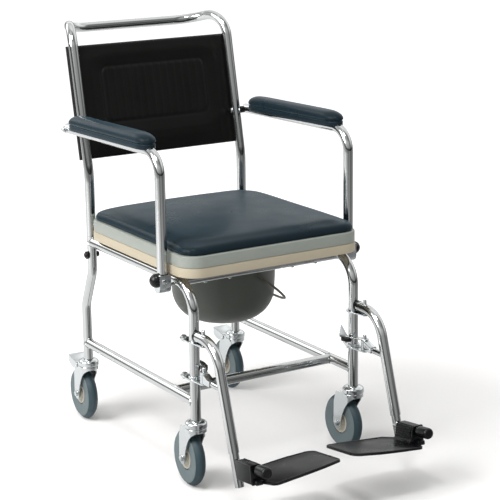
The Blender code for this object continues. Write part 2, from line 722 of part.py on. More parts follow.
def build_pedal(corner):
    """Brake pedal: a bent tread with side flanges outside the cheeks, a lip and its pin."""
    matrix = caster_matrix(corner) @ SIDE_VIEW
    y, z = PEDAL_PIVOT_BACK, PEDAL_PIVOT_Z
    top = [(y - 0.0045, z + 0.0065), (y + 0.001, z + 0.010), (y + 0.026, z + 0.018),
           (y + 0.0425, z + 0.0255)]
    outline = top + [(y + 0.0425, z + 0.0017), (y + 0.032, z - 0.0063), (y + 0.017, z - 0.0090),
                     (y + 0.003, z - 0.0055), (y - 0.0045, z - 0.0020)]
    under = [(py, pz - PEDAL_THICK) for py, pz in top]
    inside = [(y - 0.02, under[0][1])] + under + [(y + 0.06, under[-1][1]), (y + 0.06, z - 0.03),
                                                  (y - 0.02, z - 0.03)]
    pedal = plate("brake_pedal_" + corner, outline, 2 * PEDAL_HALF_WIDTH, matrix, ZINC)
    cut(pedal, plate("pedal_inside", inside, 2 * (PEDAL_HALF_WIDTH - PEDAL_THICK), matrix, ZINC))
    lip = [(y + 0.0135, z - PEDAL_LIP), (y + 0.0165, z - PEDAL_LIP), (y + 0.0165, z + 0.0135),
           (y + 0.0135, z + 0.0125)]
    join(pedal, plate("pedal_lip", lip, TYRE_WIDTH, matrix, ZINC))
    reach = PEDAL_HALF_WIDTH + 0.0010
    pin = rod("pedal_pin", (-reach, y, z), (reach, y, z), PEDAL_PIN_R, ZINC, sides=12)
    pin.matrix_world = caster_matrix(corner)
    return join(pedal, pin)


def build_casters():
    meshes = {"front": build_fork_mesh(False), "rear": build_fork_mesh(True)}
    for corner in CASTER_TURN:
        build_caster_head(corner)
        fork_mesh = meshes[corner.split("_")[0]]
        fork = bpy.data.objects.new("caster_fork_" + corner, fork_mesh)
        PARTS.objects.link(fork)
        fork.matrix_world = caster_matrix(corner)
        wheel = [build_hub(corner), build_tyre(corner)]
        axle_place = caster_matrix(corner) @ Vector((0.0, CASTER_TRAIL, WHEEL_R))
        axle = joint_axis("axle_axis_" + corner, axle_place, wheel)
        moving = [fork, axle]
        if corner.startswith("rear"):
            pedal = build_pedal(corner)
            pivot = caster_matrix(corner) @ Vector((0.0, PEDAL_PIVOT_BACK, PEDAL_PIVOT_Z))
            moving.append(joint_axis("pedal_axis_" + corner, pivot, [pedal]))
        joint_axis("swivel_axis_" + corner, leg_place(corner), moving)


# Seat

def seat_outline(inset):
    return rounded_rectangle(SEAT_HALF_WIDTH - inset, SEAT_DEPTH / 2 - inset,
                             SEAT_CORNER_R - inset, 6, (0.0, SEAT_MID_Y))


def seat_slab(name, inset, z_low, z_high, material):
    matrix = Matrix.Translation((0.0, 0.0, (z_low + z_high) / 2))
    return plate(name, seat_outline(inset), z_high - z_low, matrix, material)


def build_commode_seat():
    """Moulded seat: top plate with its hole and collar, skirt, and ribs that rest on the tubes."""
    seat = seat_slab("commode_seat", 0.0, SEAT_SKIRT_Z, SEAT_TOP_Z, BEIGE_PLASTIC)
    under = SEAT_TOP_Z - SEAT_WALL
    cut(seat, seat_slab("seat_hollow", SEAT_WALL, SEAT_SKIRT_Z - SEAT_WALL, under, BEIGE_PLASTIC))
    rest_z = RAIL_Z + TUBE_R + GAP
    join_z = under + SEAT_WALL / 2
    rib_y = (SEAT_MID_Y - SEAT_DEPTH / 2 + SEAT_CORNER_R, SEAT_MID_Y + SEAT_DEPTH / 2 - SEAT_WALL / 2)
    for x in (-FRAME_X, FRAME_X):
        join(seat, box("rail_rib", (x - SEAT_RIB / 2, rib_y[0], rest_z),
                       (x + SEAT_RIB / 2, rib_y[1], join_z), BEIGE_PLASTIC))
    for y in (SEAT_BAR_Y, BUCKET_Y + BUCKET_RIM_R + 2 * SEAT_WALL):
        join(seat, box("cross_rib", (-FRAME_X, y - SEAT_RIB / 2, rest_z),
                       (FRAME_X, y + SEAT_RIB / 2, join_z), BEIGE_PLASTIC))
    low = SEAT_TOP_Z - SEAT_COLLAR_DROP - SEAT_WALL
    join(seat, rod("seat_collar", (0, BUCKET_Y, low), (0, BUCKET_Y, join_z),
                   SEAT_HOLE_R + SEAT_WALL, BEIGE_PLASTIC, sides=30))
    return cut(seat, cutter_rod((0, BUCKET_Y, low - SEAT_WALL), (0, BUCKET_Y, SEAT_TOP_Z + SEAT_WALL),
                                SEAT_HOLE_R, sides=30))


def build_cushion_board():
    """Moulded board under the cushion, hollow below, with two ribs across."""
    low, high = SEAT_TOP_Z + GAP, SEAT_TOP_Z + GAP + BOARD_THICK
    board = seat_slab("cushion_board", BOARD_INSET, low, high, GREY_PLASTIC)
    cut(board, seat_slab("board_hollow", BOARD_INSET + SEAT_WALL, low - SEAT_WALL,
                         high - SEAT_WALL, GREY_PLASTIC))
    for share in (-1, 1):
        y = SEAT_MID_Y + share * SEAT_DEPTH / 6
        edge = SEAT_HALF_WIDTH - BOARD_INSET - SEAT_WALL / 2
        join(board, box("board_rib", (-edge, y - SEAT_RIB / 2, low),
                        (edge, y + SEAT_RIB / 2, high - SEAT_WALL / 2), GREY_PLASTIC))
    return board


def build_seat_cushion():
    """Padded cushion: drawn-in foot, full sides and a crowned top."""
    low = SEAT_TOP_Z + BOARD_THICK + 2 * GAP
    edge = CUSHION_EDGE

    def ring(inset, z, scale=1.0):
        outline = rounded_rectangle(SEAT_HALF_WIDTH - CUSHION_INSET - inset,
                                    SEAT_DEPTH / 2 - CUSHION_INSET - inset,
                                    SEAT_CORNER_R - inset, 7)
        return [(x * scale, SEAT_MID_Y + y * scale, z) for x, y in outline]

    rings = [ring(0.0040, low), ring(0.0008, low + 0.0025), ring(0.0, low + edge * 0.45),
             ring(0.0030, low + edge * 0.80), ring(0.0110, low + edge)]
    for scale in (0.90, 0.76, 0.58, 0.38, 0.18):
        rise = 1.0 - scale ** 2.4
        rings.append(ring(0.0110, low + edge + CUSHION_CROWN * rise, scale))
    return stack("seat_cushion", rings, SEAT_VINYL)


# Bucket

def build_bucket_guide():
    """One bent rod on which the bucket's rim slides: both runs, the front bend and both ends."""
    front_y = SEAT_BAR_Y + TUBE_R + GUIDE_R - 0.0015
    rear_y = POST_Y - GUIDE_REAR_TO_POST
    drop = RAIL_Z - GUIDE_Z + GUIDE_R
    end_x = FRAME_X - math.sqrt(TUBE_R ** 2 - max(0.0, drop - 2 * GUIDE_R) ** 2) - 2 * GAP
    corners = [(-end_x, rear_y, GUIDE_Z), (-GUIDE_HALF_WIDTH, rear_y, GUIDE_Z),
               (-GUIDE_HALF_WIDTH, front_y, GUIDE_Z), (GUIDE_HALF_WIDTH, front_y, GUIDE_Z),
               (GUIDE_HALF_WIDTH, rear_y, GUIDE_Z), (end_x, rear_y, GUIDE_Z)]
    return tube("bucket_guide", bent(corners, [0.012, 0.020, 0.020, 0.012], math.radians(24)),
                GUIDE_R, sides=8)


def build_bucket():
    """Bucket with a round bottom, a rim that rests on the guide and two pins for the bail."""
    rim_low = GUIDE_Z + GUIDE_R + GAP
    rim_top = rim_low + BUCKET_WALL
    centre = (BUCKET_R - BUCKET_TAPER - BUCKET_CORNER_R, BUCKET_BOTTOM_Z + BUCKET_CORNER_R)
    outer = arc(centre, BUCKET_CORNER_R, 0, -90, 5)
    inner = [(radius, max(height, BUCKET_BOTTOM_Z + BUCKET_WALL)) for radius, height in
             arc(centre, BUCKET_CORNER_R - BUCKET_WALL, -90, 0, 5)]
    profile = [(0.0, BUCKET_BOTTOM_Z + BUCKET_WALL)] + inner
    profile += [(BUCKET_R - BUCKET_WALL, rim_top), (BUCKET_RIM_R, rim_top),
                (BUCKET_RIM_R, rim_low), (BUCKET_R, rim_low)]
    profile += outer + [(0.0, BUCKET_BOTTOM_Z)]
    bucket = turned("bucket", profile, Matrix.Translation((0.0, BUCKET_Y, 0.0)), BUCKET_STEPS,
                    BUCKET_PLASTIC)
    slope = BUCKET_TAPER / (rim_low - centre[1])
    mid_wall = BUCKET_R - slope * (rim_low - BAIL_PIVOT_Z) - BUCKET_WALL / 2
    for side in (-1, 1):
        start = BUCKET_Y + side * mid_wall * math.cos(math.pi / BUCKET_STEPS)
        shoulder = BUCKET_Y + side * (BUCKET_R + 0.0022)
        end = BUCKET_Y + side * (BUCKET_R + 0.0095)
        join(bucket, rod("bail_boss", (0, start, BAIL_PIVOT_Z), (0, shoulder, BAIL_PIVOT_Z), 0.0075,
                         BUCKET_PLASTIC, sides=12))
        join(bucket, rod("bail_pin", (0, start, BAIL_PIVOT_Z), (0, end, BAIL_PIVOT_Z), BAIL_PIN_R,
                         BUCKET_PLASTIC, sides=12))
        join(bucket, rod("bail_head", (0, end, BAIL_PIVOT_Z), (0, end + side * 0.002, BAIL_PIVOT_Z),
                         0.0050, BUCKET_PLASTIC, sides=12))
    return bucket


def build_bail():
    """Bucket handle: a bowed rod with an eye at each end, laid over to the left."""
    half_width = BUCKET_R + 0.0065
    path = []
    count = 12
    for index in range(count + 1):
        angle = math.pi * index / count
        along = BAIL_REACH * math.sin(angle)
        across = half_width * math.copysign(abs(math.cos(angle)) ** 0.7, math.cos(angle))
        path.append((along * math.cos(BAIL_ANGLE), BUCKET_Y - across,
                     BAIL_PIVOT_Z - along * math.sin(BAIL_ANGLE)))
    bail = tube("bucket_bail", path, BAIL_R, ZINC, sides=8)
    for side in (-1, 1):
        y = BUCKET_Y + side * half_width
        join(bail, rod("bail_eye", (0, y - 0.0022, BAIL_PIVOT_Z), (0, y + 0.0022, BAIL_PIVOT_Z),
                       0.0068, ZINC, sides=12))
    reach = half_width + 0.02
    return cut(bail, cutter_rod((0, BUCKET_Y - reach, BAIL_PIVOT_Z),
                                (0, BUCKET_Y + reach, BAIL_PIVOT_Z), BAIL_PIN_R + GAP, sides=12))


# Backrest

def build_backrest_panel():
    """Padded panel with sewn ribs across a field in its middle; it leans with the posts."""
    lean = math.atan(POST_LEAN)
    columns, rows = 2 * PANEL_RIBS + 6, 8
    bm = bmesh.new()
    made = bmesh.ops.create_grid(bm, x_segments=columns, y_segments=rows, size=0.5)
    field_rows = [0.0, 0.10, PANEL_FIELD_LOW / PANEL_HEIGHT - 0.02, PANEL_FIELD_LOW / PANEL_HEIGHT,
                  0.54, PANEL_FIELD_HIGH / PANEL_HEIGHT, PANEL_FIELD_HIGH / PANEL_HEIGHT + 0.02,
                  0.93, 1.0]
    edge_columns = 3
    for vert in made["verts"]:
        column = round((vert.co.x + 0.5) * columns)
        row = round((vert.co.y + 0.5) * rows)
        inside = column - edge_columns
        if 0 <= inside <= columns - 2 * edge_columns:
            x = PANEL_FIELD_HALF * (2 * inside / (columns - 2 * edge_columns) - 1)
        else:
            steps = min(column, columns - column) / edge_columns
            x = math.copysign(PANEL_HALF_WIDTH - (PANEL_HALF_WIDTH - PANEL_FIELD_HALF) * steps,
                              vert.co.x)
        height = field_rows[row] * PANEL_HEIGHT
        ribbed = 3 <= row <= 5 and 0 < inside < columns - 2 * edge_columns
        wave = inside % 2 if ribbed else 0
        edge = row in (0, rows) or column in (0, columns)
        depth = 0.0006 if edge else -PANEL_RIB_HEIGHT * wave
        vert.co = (x, depth, height)
    bm.normal_update()
    border = [item for item in bm.edges if item.is_boundary]
    grown = bmesh.ops.extrude_edge_only(bm, edges=border)
    back = [item for item in grown["geom"] if isinstance(item, bmesh.types.BMEdge)]
    for item in grown["geom"]:
        if isinstance(item, bmesh.types.BMVert):
            item.co.y = PANEL_THICK
    bmesh.ops.contextual_create(bm, geom=back)
    bmesh.ops.recalc_face_normals(bm, faces=bm.faces)
    panel = from_bmesh("backrest_panel", bm, BACK_VINYL)
    front = (TUBE_R + GAP) / math.cos(lean)
    origin = Vector((0.0, post_y(PANEL_BOTTOM_Z) + front, PANEL_BOTTOM_Z))
    panel.matrix_world = Matrix.Translation(origin) @ Matrix.Rotation(-lean, 4, "X")
    return panel


# Armrests

def arm_z(y):
    """The axis of an armrest's upper tube at y."""
    return ARM_PIVOT_Z + (post_y(ARM_PIVOT_Z) - y) * ARM_RISE


def build_arm_tube(name, side):
    x = side * ARM_X
    rear_y = post_y(ARM_PIVOT_Z) + ARM_TAIL
    path = bent([(x, rear_y, arm_z(rear_y)), (x, ARM_Y, arm_z(ARM_Y)), (x, ARM_Y, ARM_BOTTOM_Z)],
                [ARM_BEND_R])
    arm = tube(name, path)
    reach = 2 * TUBE_R
    for y, z in ((post_y(ARM_PIVOT_Z), ARM_PIVOT_Z), (ARM_Y, LOCK_PIN_Z)):
        cut(arm, cutter_rod((x - reach, y, z), (x + reach, y, z), BOLT_R + HOLE_PLAY, sides=12))
    return arm


def build_arm_pad(name, side):
    """Two-tier moulded pad with a groove that sits over the tube."""
    front_y = ARM_Y - PAD_FRONT_PAST_UPRIGHT
    rear_y = post_y(ARM_PIVOT_Z) - PAD_REAR_BEFORE_PIVOT
    middle = (front_y + rear_y) / 2
    half_length = (rear_y - front_y) / 2

    def ring(inset, height):
        outline = rounded_rectangle(PAD_HALF_WIDTH - inset, half_length - inset,
                                    PAD_HALF_WIDTH - inset - 0.001, 6)
        return [(x, y, height) for x, y in outline]

    rings = [ring(0.0012, PAD_LOW), ring(0.0008, PAD_SEAM - 0.0020), ring(0.0022, PAD_SEAM),
             ring(0.0, PAD_SEAM + 0.0015), ring(0.0005, PAD_SEAM + 0.0080),
             ring(0.0035, PAD_TOP - 0.0050), ring(0.0095, PAD_TOP - 0.0012),
             ring(0.0160, PAD_TOP)]
    matrix = Matrix.Translation((side * ARM_X, middle, arm_z(middle)))
    matrix = matrix @ Matrix.Rotation(-math.atan(ARM_RISE), 4, "X")
    pad = stack(name, rings, SEAT_VINYL, matrix)
    x = side * ARM_X
    path = bent([(x, rear_y + 4 * TUBE_R, arm_z(rear_y + 4 * TUBE_R)), (x, ARM_Y, arm_z(ARM_Y)),
                 (x, ARM_Y, ARM_PIVOT_Z - 4 * TUBE_R)], [ARM_BEND_R])
    return cut(pad, tube("pad_groove", path, TUBE_R + GAP, sides=TUBE_SIDES))


def build_pivot_bolt(name, side):
    """Bolt, spacer and nut on which an armrest turns."""
    y = post_y(ARM_PIVOT_Z)
    inner = FRAME_X - TUBE_R - GAP
    post_face, arm_face = FRAME_X + TUBE_R + GAP, ARM_X - TUBE_R - GAP
    outer = ARM_X + TUBE_R + GAP

    def piece(label, start, end, radius, sides):
        return rod(label, (side * start, y, ARM_PIVOT_Z), (side * end, y, ARM_PIVOT_Z), radius,
                   BLACK_PLASTIC, sides=sides)

    bolt = piece(name, inner - 0.002, outer + 0.002, BOLT_R, 8)
    join(bolt, piece(name + "_head", inner, inner - 0.004, 0.0070, 12))
    join(bolt, piece(name + "_spacer", post_face, arm_face, 0.0080, 12))
    return join(bolt, piece(name + "_nut", outer, outer + 0.0045, 0.0070, 12))


def build_lock_bracket(name, side):
    """Rounded socket on the armrest's foot, which rests on the rail's stud."""
    inner = LOCK_INNER_X
    outer = ARM_X + TUBE_R + LOCK_WALL
    round_r = LOCK_HALF_DEPTH
    outline = [(round_r, LOCK_TOP_Z), (-round_r, LOCK_TOP_Z)]
    outline += arc((0.0, LOCK_BOTTOM_Z + round_r), round_r, 180, 360, 8)
    side_turn = Matrix.Translation((side * (inner + outer) / 2, ARM_Y, 0.0)) @ SIDE_VIEW
    bracket = plate(name, outline, outer - inner, side_turn, ZINC)
    x = side * ARM_X
    cut(bracket, cutter_rod((x, ARM_Y, ARM_BOTTOM_Z - GAP), (x, ARM_Y, LOCK_TOP_Z + TUBE_R),
                            TUBE_R + GAP))
    step = side * (LOCK_INNER_X + STUD_GRIP + GAP)
    notch_low = (min(side * inner - side * 0.001, step), ARM_Y - STUD_R - GAP, LOCK_BOTTOM_Z - STUD_R)
    notch_high = (max(side * inner - side * 0.001, step), ARM_Y + 2 * round_r, STUD_Z + STUD_R + GAP)
    cut(bracket, box(name + "_notch", notch_low, notch_high, collection=CUTTERS))
    cut(bracket, cutter_rod((side * (inner - 0.002), ARM_Y, LOCK_PIN_Z),
                            (side * (outer + 0.002), ARM_Y, LOCK_PIN_Z), BOLT_R + HOLE_PLAY,
                            sides=12))
    head_x = side * (ARM_X + 0.003)
    join(bracket, rod(name + "_bolt", (head_x, ARM_Y - round_r + 0.001, LOCK_PIN_Z - 0.002),
                      (head_x, ARM_Y - round_r - 0.004, LOCK_PIN_Z - 0.002), 0.0065, ZINC, sides=6))
    return bracket


def build_lock_knob(name, side):
    """Domed pull knob on a spring pin."""
    face = ARM_X + TUBE_R + LOCK_WALL + GAP
    dome = [(KNOB_R * math.cos(math.radians(a)), KNOB_HEIGHT * math.sin(math.radians(a)))
            for a in (70, 48, 26, 8)]
    tip = face - (LOCK_INNER_X + GAP)
    profile = [(0.0, KNOB_HEIGHT)] + dome + [(KNOB_R - 0.001, 0.0), (BOLT_R, 0.0), (BOLT_R, -tip),
                                             (0.0, -tip)]
    matrix = Matrix.Translation((side * face, ARM_Y, LOCK_PIN_Z)) @ turn_to((side, 0, 0))
    return turned(name, profile, matrix, 16, BLACK_PLASTIC)


def build_armrests():
    for word, side in SIDES.items():
        arm = build_arm_tube("arm_tube_" + word, side)
        pad = build_arm_pad("arm_pad_" + word, side)
        bracket = build_lock_bracket("arm_lock_bracket_" + word, side)
        knob = build_lock_knob("arm_lock_knob_" + word, side)
        build_pivot_bolt("arm_pivot_bolt_" + word, side)
        knob_axis = joint_axis("knob_axis_" + word, (side * ARM_X, ARM_Y, LOCK_PIN_Z), [knob])
        joint_axis("arm_axis_" + word, (side * ARM_X, post_y(ARM_PIVOT_Z), ARM_PIVOT_Z),
                   [arm, pad, bracket, knob_axis])


# Footrests

def bracket_outline(side):
    """Plan of a footrest bracket: a ring round the leg, an ear ahead and a bolt lug behind."""
    leg = Vector((side * FRAME_X, FRONT_LEG_Y))
    pin = Vector((side * HANGER_X, SWING_Y))
    bolt = leg + Vector((side * CLAMP_BOLT_OUT, CLAMP_BOLT_BACK))
    points = arc(pin, PLATE_EAR_R, 200, 340, 5)
    points += arc(leg, PLATE_RING_R, -35, 35, 2)
    points += arc(bolt, PLATE_EAR_R, 10, 170, 5)
    points += arc(leg, PLATE_RING_R, 145, 215, 2)
    return points


def build_bracket(name, side, top_z, pin_tip_z, collar):
    """Clamp plate round the front leg with the hanger's hinge pin and its clamp bolt."""
    matrix = Matrix.Translation((0.0, 0.0, top_z - PLATE_THICK / 2))
    bracket = plate(name, bracket_outline(side), PLATE_THICK, matrix, ZINC)
    leg = Vector((side * FRAME_X, FRONT_LEG_Y, 0.0))
    pin = Vector((side * HANGER_X, SWING_Y, 0.0))
    bolt = leg + Vector((side * CLAMP_BOLT_OUT, CLAMP_BOLT_BACK, 0.0))
    under = top_z - PLATE_THICK / 2
    if collar:
        join(bracket, rod(name + "_collar", leg + Z * under, leg + Z * (top_z + COLLAR_HEIGHT),
                          TUBE_R + GAP + COLLAR_WALL, ZINC, sides=16))
    profile = [(0.0, pin_tip_z), (HINGE_PIN_R - 0.0012, pin_tip_z),
               (HINGE_PIN_R, pin_tip_z - 0.0015), (HINGE_PIN_R, under), (0.0, under)]
    join(bracket, turned(name + "_pin", profile, Matrix.Translation(pin), 12, ZINC))
    join(bracket, rod(name + "_bolt", bolt + Z * (top_z + 0.0045), bolt + Z * (top_z - 0.0085),
                      0.0062, ZINC, sides=6))
    return cut(bracket, cutter_rod(leg + Z * (top_z - 0.02), leg + Z * (top_z + 0.04),
                                   TUBE_R + GAP, sides=16))


def hanger_axis():
    """Unit vector down the sloping part of a hanger."""
    return Vector((0.0, -HANGER_SLOPE, -1.0)).normalized()


def build_hanger(name, side):
    """Swing-away hanger: bent tube, strut and lower hinge sleeve, bored for pins and extension."""
    x = side * HANGER_X
    rear_y = FRONT_LEG_Y - HANGER_BACK
    corner_y = FRONT_LEG_Y - HANGER_CORNER
    end = Vector((x, hanger_y(HANGER_END_Z), HANGER_END_Z))
    path = bent([(x, rear_y, HANGER_Z), (x, corner_y, HANGER_Z), end], [HANGER_BEND_R])
    hanger = tube(name, path)
    sleeve_low = LOWER_PLATE_Z + GAP
    strut_z = sleeve_low + STRUT_R + GAP
    join(hanger, rod(name + "_sleeve", (x, SWING_Y, sleeve_low),
                     (x, SWING_Y, sleeve_low + SLEEVE_HEIGHT), SLEEVE_R, ZINC, sides=16))
    join(hanger, rod(name + "_strut", (x, SWING_Y, strut_z), (x, hanger_y(strut_z), strut_z),
                     STRUT_R, sides=12))
    pin_hole = HINGE_PIN_R + HOLE_PLAY
    cut(hanger, cutter_rod((x, SWING_Y, sleeve_low - 0.01), (x, SWING_Y, HANGER_Z + 2 * TUBE_R),
                           pin_hole, sides=12))
    down = hanger_axis()
    return cut(hanger, cutter_rod(end - down * (EXTENSION_INSIDE + HOLE_PLAY), end + down * TUBE_R,
                                  EXTENSION_R + GAP, sides=16))


def foot_matrix(side):
    """From a footplate's own frame (x inboard, y ahead, z up, on its hinge) to the chair."""
    tilt = Matrix.Rotation(-FOOT_TILT, 4, "X")
    own = Matrix(((-side, 0, 0, 0), (0, -1, 0, 0), (0, 0, 1, 0), (0, 0, 0, 1)))
    return Matrix.Translation((side * FOOT_X, FOOT_Y, FOOT_Z)) @ tilt @ own


def foot_point(side, x, y, z):
    return foot_matrix(side) @ Vector((x, y, z))


def build_extension(name, side):
    """Telescopic tube with the pin that the footplate turns on."""
    x = side * HANGER_X
    down = hanger_axis()
    top = Vector((x, hanger_y(HANGER_END_Z), HANGER_END_Z)) - down * EXTENSION_INSIDE
    end = Vector((x, hanger_y(EXTENSION_END_Z), EXTENSION_END_Z))
    extension = tube(name, [top, end], EXTENSION_R, sides=16)
    tube_at = (FOOT_Y - hanger_y(FOOT_Z)) / math.cos(FOOT_TILT)
    pin_start = foot_point(side, 0, tube_at, 0)
    join(extension, rod(name + "_pin", pin_start, foot_point(side, 0, BLOCK_FRONT + 0.034, 0),
                        FOOT_PIN_R, ZINC, sides=12))
    return join(extension, rod(name + "_collar", pin_start,
                               foot_point(side, 0, -BLOCK_BACK - GAP, 0), 0.0075, ZINC, sides=16))


def block_outline():
    """Section of the footplate's hinge block, finned on its inner side."""
    corner = 0.004
    points = arc((-BLOCK_OUT + corner, BLOCK_UP - corner), corner, 180, 90, 3)
    fin = (BLOCK_UP + BLOCK_DOWN - 0.012) / (2 * BLOCK_FINS)
    top = BLOCK_UP - 0.0015
    for index in range(BLOCK_FINS):
        z = top - 2 * index * fin
        points += [(BLOCK_IN, z), (BLOCK_IN, z - fin), (BLOCK_IN - 0.0030, z - fin),
                   (BLOCK_IN - 0.0030, z - 2 * fin)]
    points += [(BLOCK_IN, -BLOCK_DOWN)]
    points += arc((-BLOCK_OUT + corner, -BLOCK_DOWN + corner), corner, 270, 180, 3)
    return points


def footplate_outline():
    """Plan of the footplate, from its hinge side to its rounded inner end."""
    points = [(0.004, -BLOCK_BACK), (0.030, -FOOTPLATE_BACK + 0.008)]
    points += arc((FOOTPLATE_REACH - 0.028, -FOOTPLATE_BACK + 0.022), 0.022, 270, 350, 4)
    points += arc((FOOTPLATE_REACH - 0.018, FOOTPLATE_FRONT - 0.018), 0.018, 10, 90, 4)
    points += arc((0.024, FOOTPLATE_FRONT - 0.014), 0.014, 90, 180, 4)
    return points + [(0.004, BLOCK_FRONT)]


def build_footplate(name, side):
    """Footplate moulded with its finned hinge block, bored for the pin."""
    own = foot_matrix(side)
    length = BLOCK_BACK + BLOCK_FRONT
    section = Matrix(((1, 0, 0, 0), (0, 0, 1, (BLOCK_FRONT - BLOCK_BACK) / 2), (0, 1, 0, 0),
                      (0, 0, 0, 1)))
    block = plate(name, block_outline(), length, own @ section, BLACK_PLASTIC)
    rise = Matrix.Rotation(-FOOTPLATE_RISE, 4, "Y")
    lift = Matrix.Translation((0, 0, -BLOCK_DOWN + FOOTPLATE_THICK / 2 + 0.0004))
    join(block, plate(name + "_tread", footplate_outline(), FOOTPLATE_THICK, own @ lift @ rise,
                      BLACK_PLASTIC))
    return cut(block, cutter_rod(foot_point(side, 0, -length, 0), foot_point(side, 0, length, 0),
                                 FOOT_PIN_R + HOLE_PLAY, sides=12))


def build_bumper(name, side):
    """Rubber bumper on the front end of the footplate's pin."""
    start = BLOCK_FRONT + 2 * GAP
    end = start + BUMPER_LENGTH
    bumper = rod(name, foot_point(side, 0, start, 0), foot_point(side, 0, end, 0), BUMPER_R,
                 BLACK_PLASTIC, sides=20)
    return cut(bumper, cutter_rod(foot_point(side, 0, start - GAP, 0),
                                  foot_point(side, 0, BLOCK_FRONT + 0.034 + GAP, 0),
                                  FOOT_PIN_R + GAP, sides=12))


def build_latch(name, side):
    """Black latch lever on the strut: an eye on the hinge sleeve, a jaw beside the leg and a tab."""
    leg = Vector((side * FRAME_X, FRONT_LEG_Y))
    pin = Vector((side * HANGER_X, SWING_Y))
    low = LOWER_PLATE_Z + GAP + SLEEVE_HEIGHT + GAP
    inboard = -side
    points = [(pin.x - inboard * 0.008, pin.y - 0.008), (pin.x + inboard * 0.020, pin.y - 0.010),
              (pin.x + inboard * 0.026, pin.y + 0.006), (leg.x + inboard * 0.0250, leg.y - 0.008),
              (leg.x + inboard * 0.0155, leg.y - 0.006), (leg.x + inboard * 0.0120, leg.y - 0.0145),
              (pin.x - inboard * 0.008, pin.y + 0.008)]
    matrix = Matrix.Translation((0.0, 0.0, low + LATCH_THICK / 2))
    latch = plate(name, points, LATCH_THICK, matrix, BLACK_PLASTIC)
    tab_x = pin.x + inboard * 0.0215
    tab = [(-0.012, 0.0), (0.012, 0.0), (0.008, 0.012), (-0.010, 0.006)]
    turn = Matrix.Translation((tab_x, pin.y + 0.006, low + LATCH_THICK / 2)) @ SIDE_VIEW
    join(latch, plate(name + "_tab", tab, 0.005, turn, BLACK_PLASTIC))
    return cut(latch, cutter_rod((pin.x, pin.y, low - 0.01), (pin.x, pin.y, low + 0.02),
                                 HINGE_PIN_R + HOLE_PLAY, sides=12))


def build_footrests():
    for word, side in SIDES.items():
        plate_top = HANGER_Z - TUBE_R - 4 * GAP
        build_bracket("footrest_upper_bracket_" + word, side, plate_top, UPPER_PIN_TIP_Z, False)
        build_bracket("footrest_lower_bracket_" + word, side, LOWER_PLATE_Z, LOWER_PIN_TIP_Z, True)
        hanger = build_hanger("footrest_hanger_" + word, side)
        extension = build_extension("footrest_extension_" + word, side)
        footplate = build_footplate("footplate_" + word, side)
        bumper = build_bumper("footrest_bumper_" + word, side)
        latch = build_latch("latch_lever_" + word, side)
        hinge = joint_axis("footplate_axis_" + word, (side * FOOT_X, FOOT_Y, FOOT_Z), [footplate])
        slide_at = (side * HANGER_X, hanger_y(HANGER_END_Z), HANGER_END_Z)
        slide = joint_axis("extension_axis_" + word, slide_at, [extension, bumper, hinge])
        latch_axis = joint_axis("latch_axis_" + word, (side * HANGER_X, SWING_Y, LOWER_PLATE_Z),
                                [latch])
        joint_axis("swing_axis_" + word, (side * HANGER_X, SWING_Y, HANGER_Z),
                   [hanger, slide, latch_axis])


def build_chair():
    for word, side in SIDES.items():
        build_side_rail("side_rail_" + word, side)
        build_rear_leg("rear_leg_" + word, side)
        build_side_bar("side_bar_" + word, side)
        build_joint_bolt("back_joint_bolt_" + word, side)
    build_back_frame()
    build_crossbar()
    build_seat_front_bar()
    build_bucket_guide()
    build_commode_seat()
    joint_axis("lid_axis", (0, SEAT_MID_Y, SEAT_TOP_Z), [build_cushion_board(), build_seat_cushion()])
    bail_axis = joint_axis("bail_axis", (0, BUCKET_Y, BAIL_PIVOT_Z), [build_bail()])
    joint_axis("bucket_axis", (0, BUCKET_Y, BUCKET_BOTTOM_Z), [build_bucket(), bail_axis])
    build_backrest_panel()
    build_armrests()
    build_footrests()
    build_casters()


build_chair()
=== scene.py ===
"""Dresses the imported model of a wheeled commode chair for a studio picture.

Everything is in metres, +Z up. The chair faces -Y, and right and left are the sitter's own.
"""

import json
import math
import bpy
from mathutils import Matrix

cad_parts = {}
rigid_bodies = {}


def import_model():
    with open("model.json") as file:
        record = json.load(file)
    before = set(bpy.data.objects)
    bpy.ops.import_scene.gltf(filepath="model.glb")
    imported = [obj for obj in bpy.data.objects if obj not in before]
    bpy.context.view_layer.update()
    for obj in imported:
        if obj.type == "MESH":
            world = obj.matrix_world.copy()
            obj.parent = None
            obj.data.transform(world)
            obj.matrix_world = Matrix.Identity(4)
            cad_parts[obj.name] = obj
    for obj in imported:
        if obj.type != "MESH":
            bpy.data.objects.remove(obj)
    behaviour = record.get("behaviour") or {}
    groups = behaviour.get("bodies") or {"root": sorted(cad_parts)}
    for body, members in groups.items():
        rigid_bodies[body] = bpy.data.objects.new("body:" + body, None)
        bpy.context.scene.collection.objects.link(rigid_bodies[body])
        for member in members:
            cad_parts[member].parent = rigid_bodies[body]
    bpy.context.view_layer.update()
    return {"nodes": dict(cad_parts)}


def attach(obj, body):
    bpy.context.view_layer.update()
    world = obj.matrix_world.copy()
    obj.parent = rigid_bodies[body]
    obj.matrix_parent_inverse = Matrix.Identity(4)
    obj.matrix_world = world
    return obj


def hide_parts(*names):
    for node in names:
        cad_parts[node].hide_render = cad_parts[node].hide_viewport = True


bl_info = {
    "name": "Wheeled commode chair",
    "version": (1, 0, 0),
    "blender": (4, 5, 0),
    "location": "View3D > Sidebar > Commode chair",
    "description": "Builds the visible pieces, finishes, light and camera of a wheeled commode chair",
    "category": "Object",
}

import bmesh
import bpy
from bpy.props import FloatProperty, FloatVectorProperty, IntProperty, PointerProperty
from mathutils import Matrix, Vector

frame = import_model()

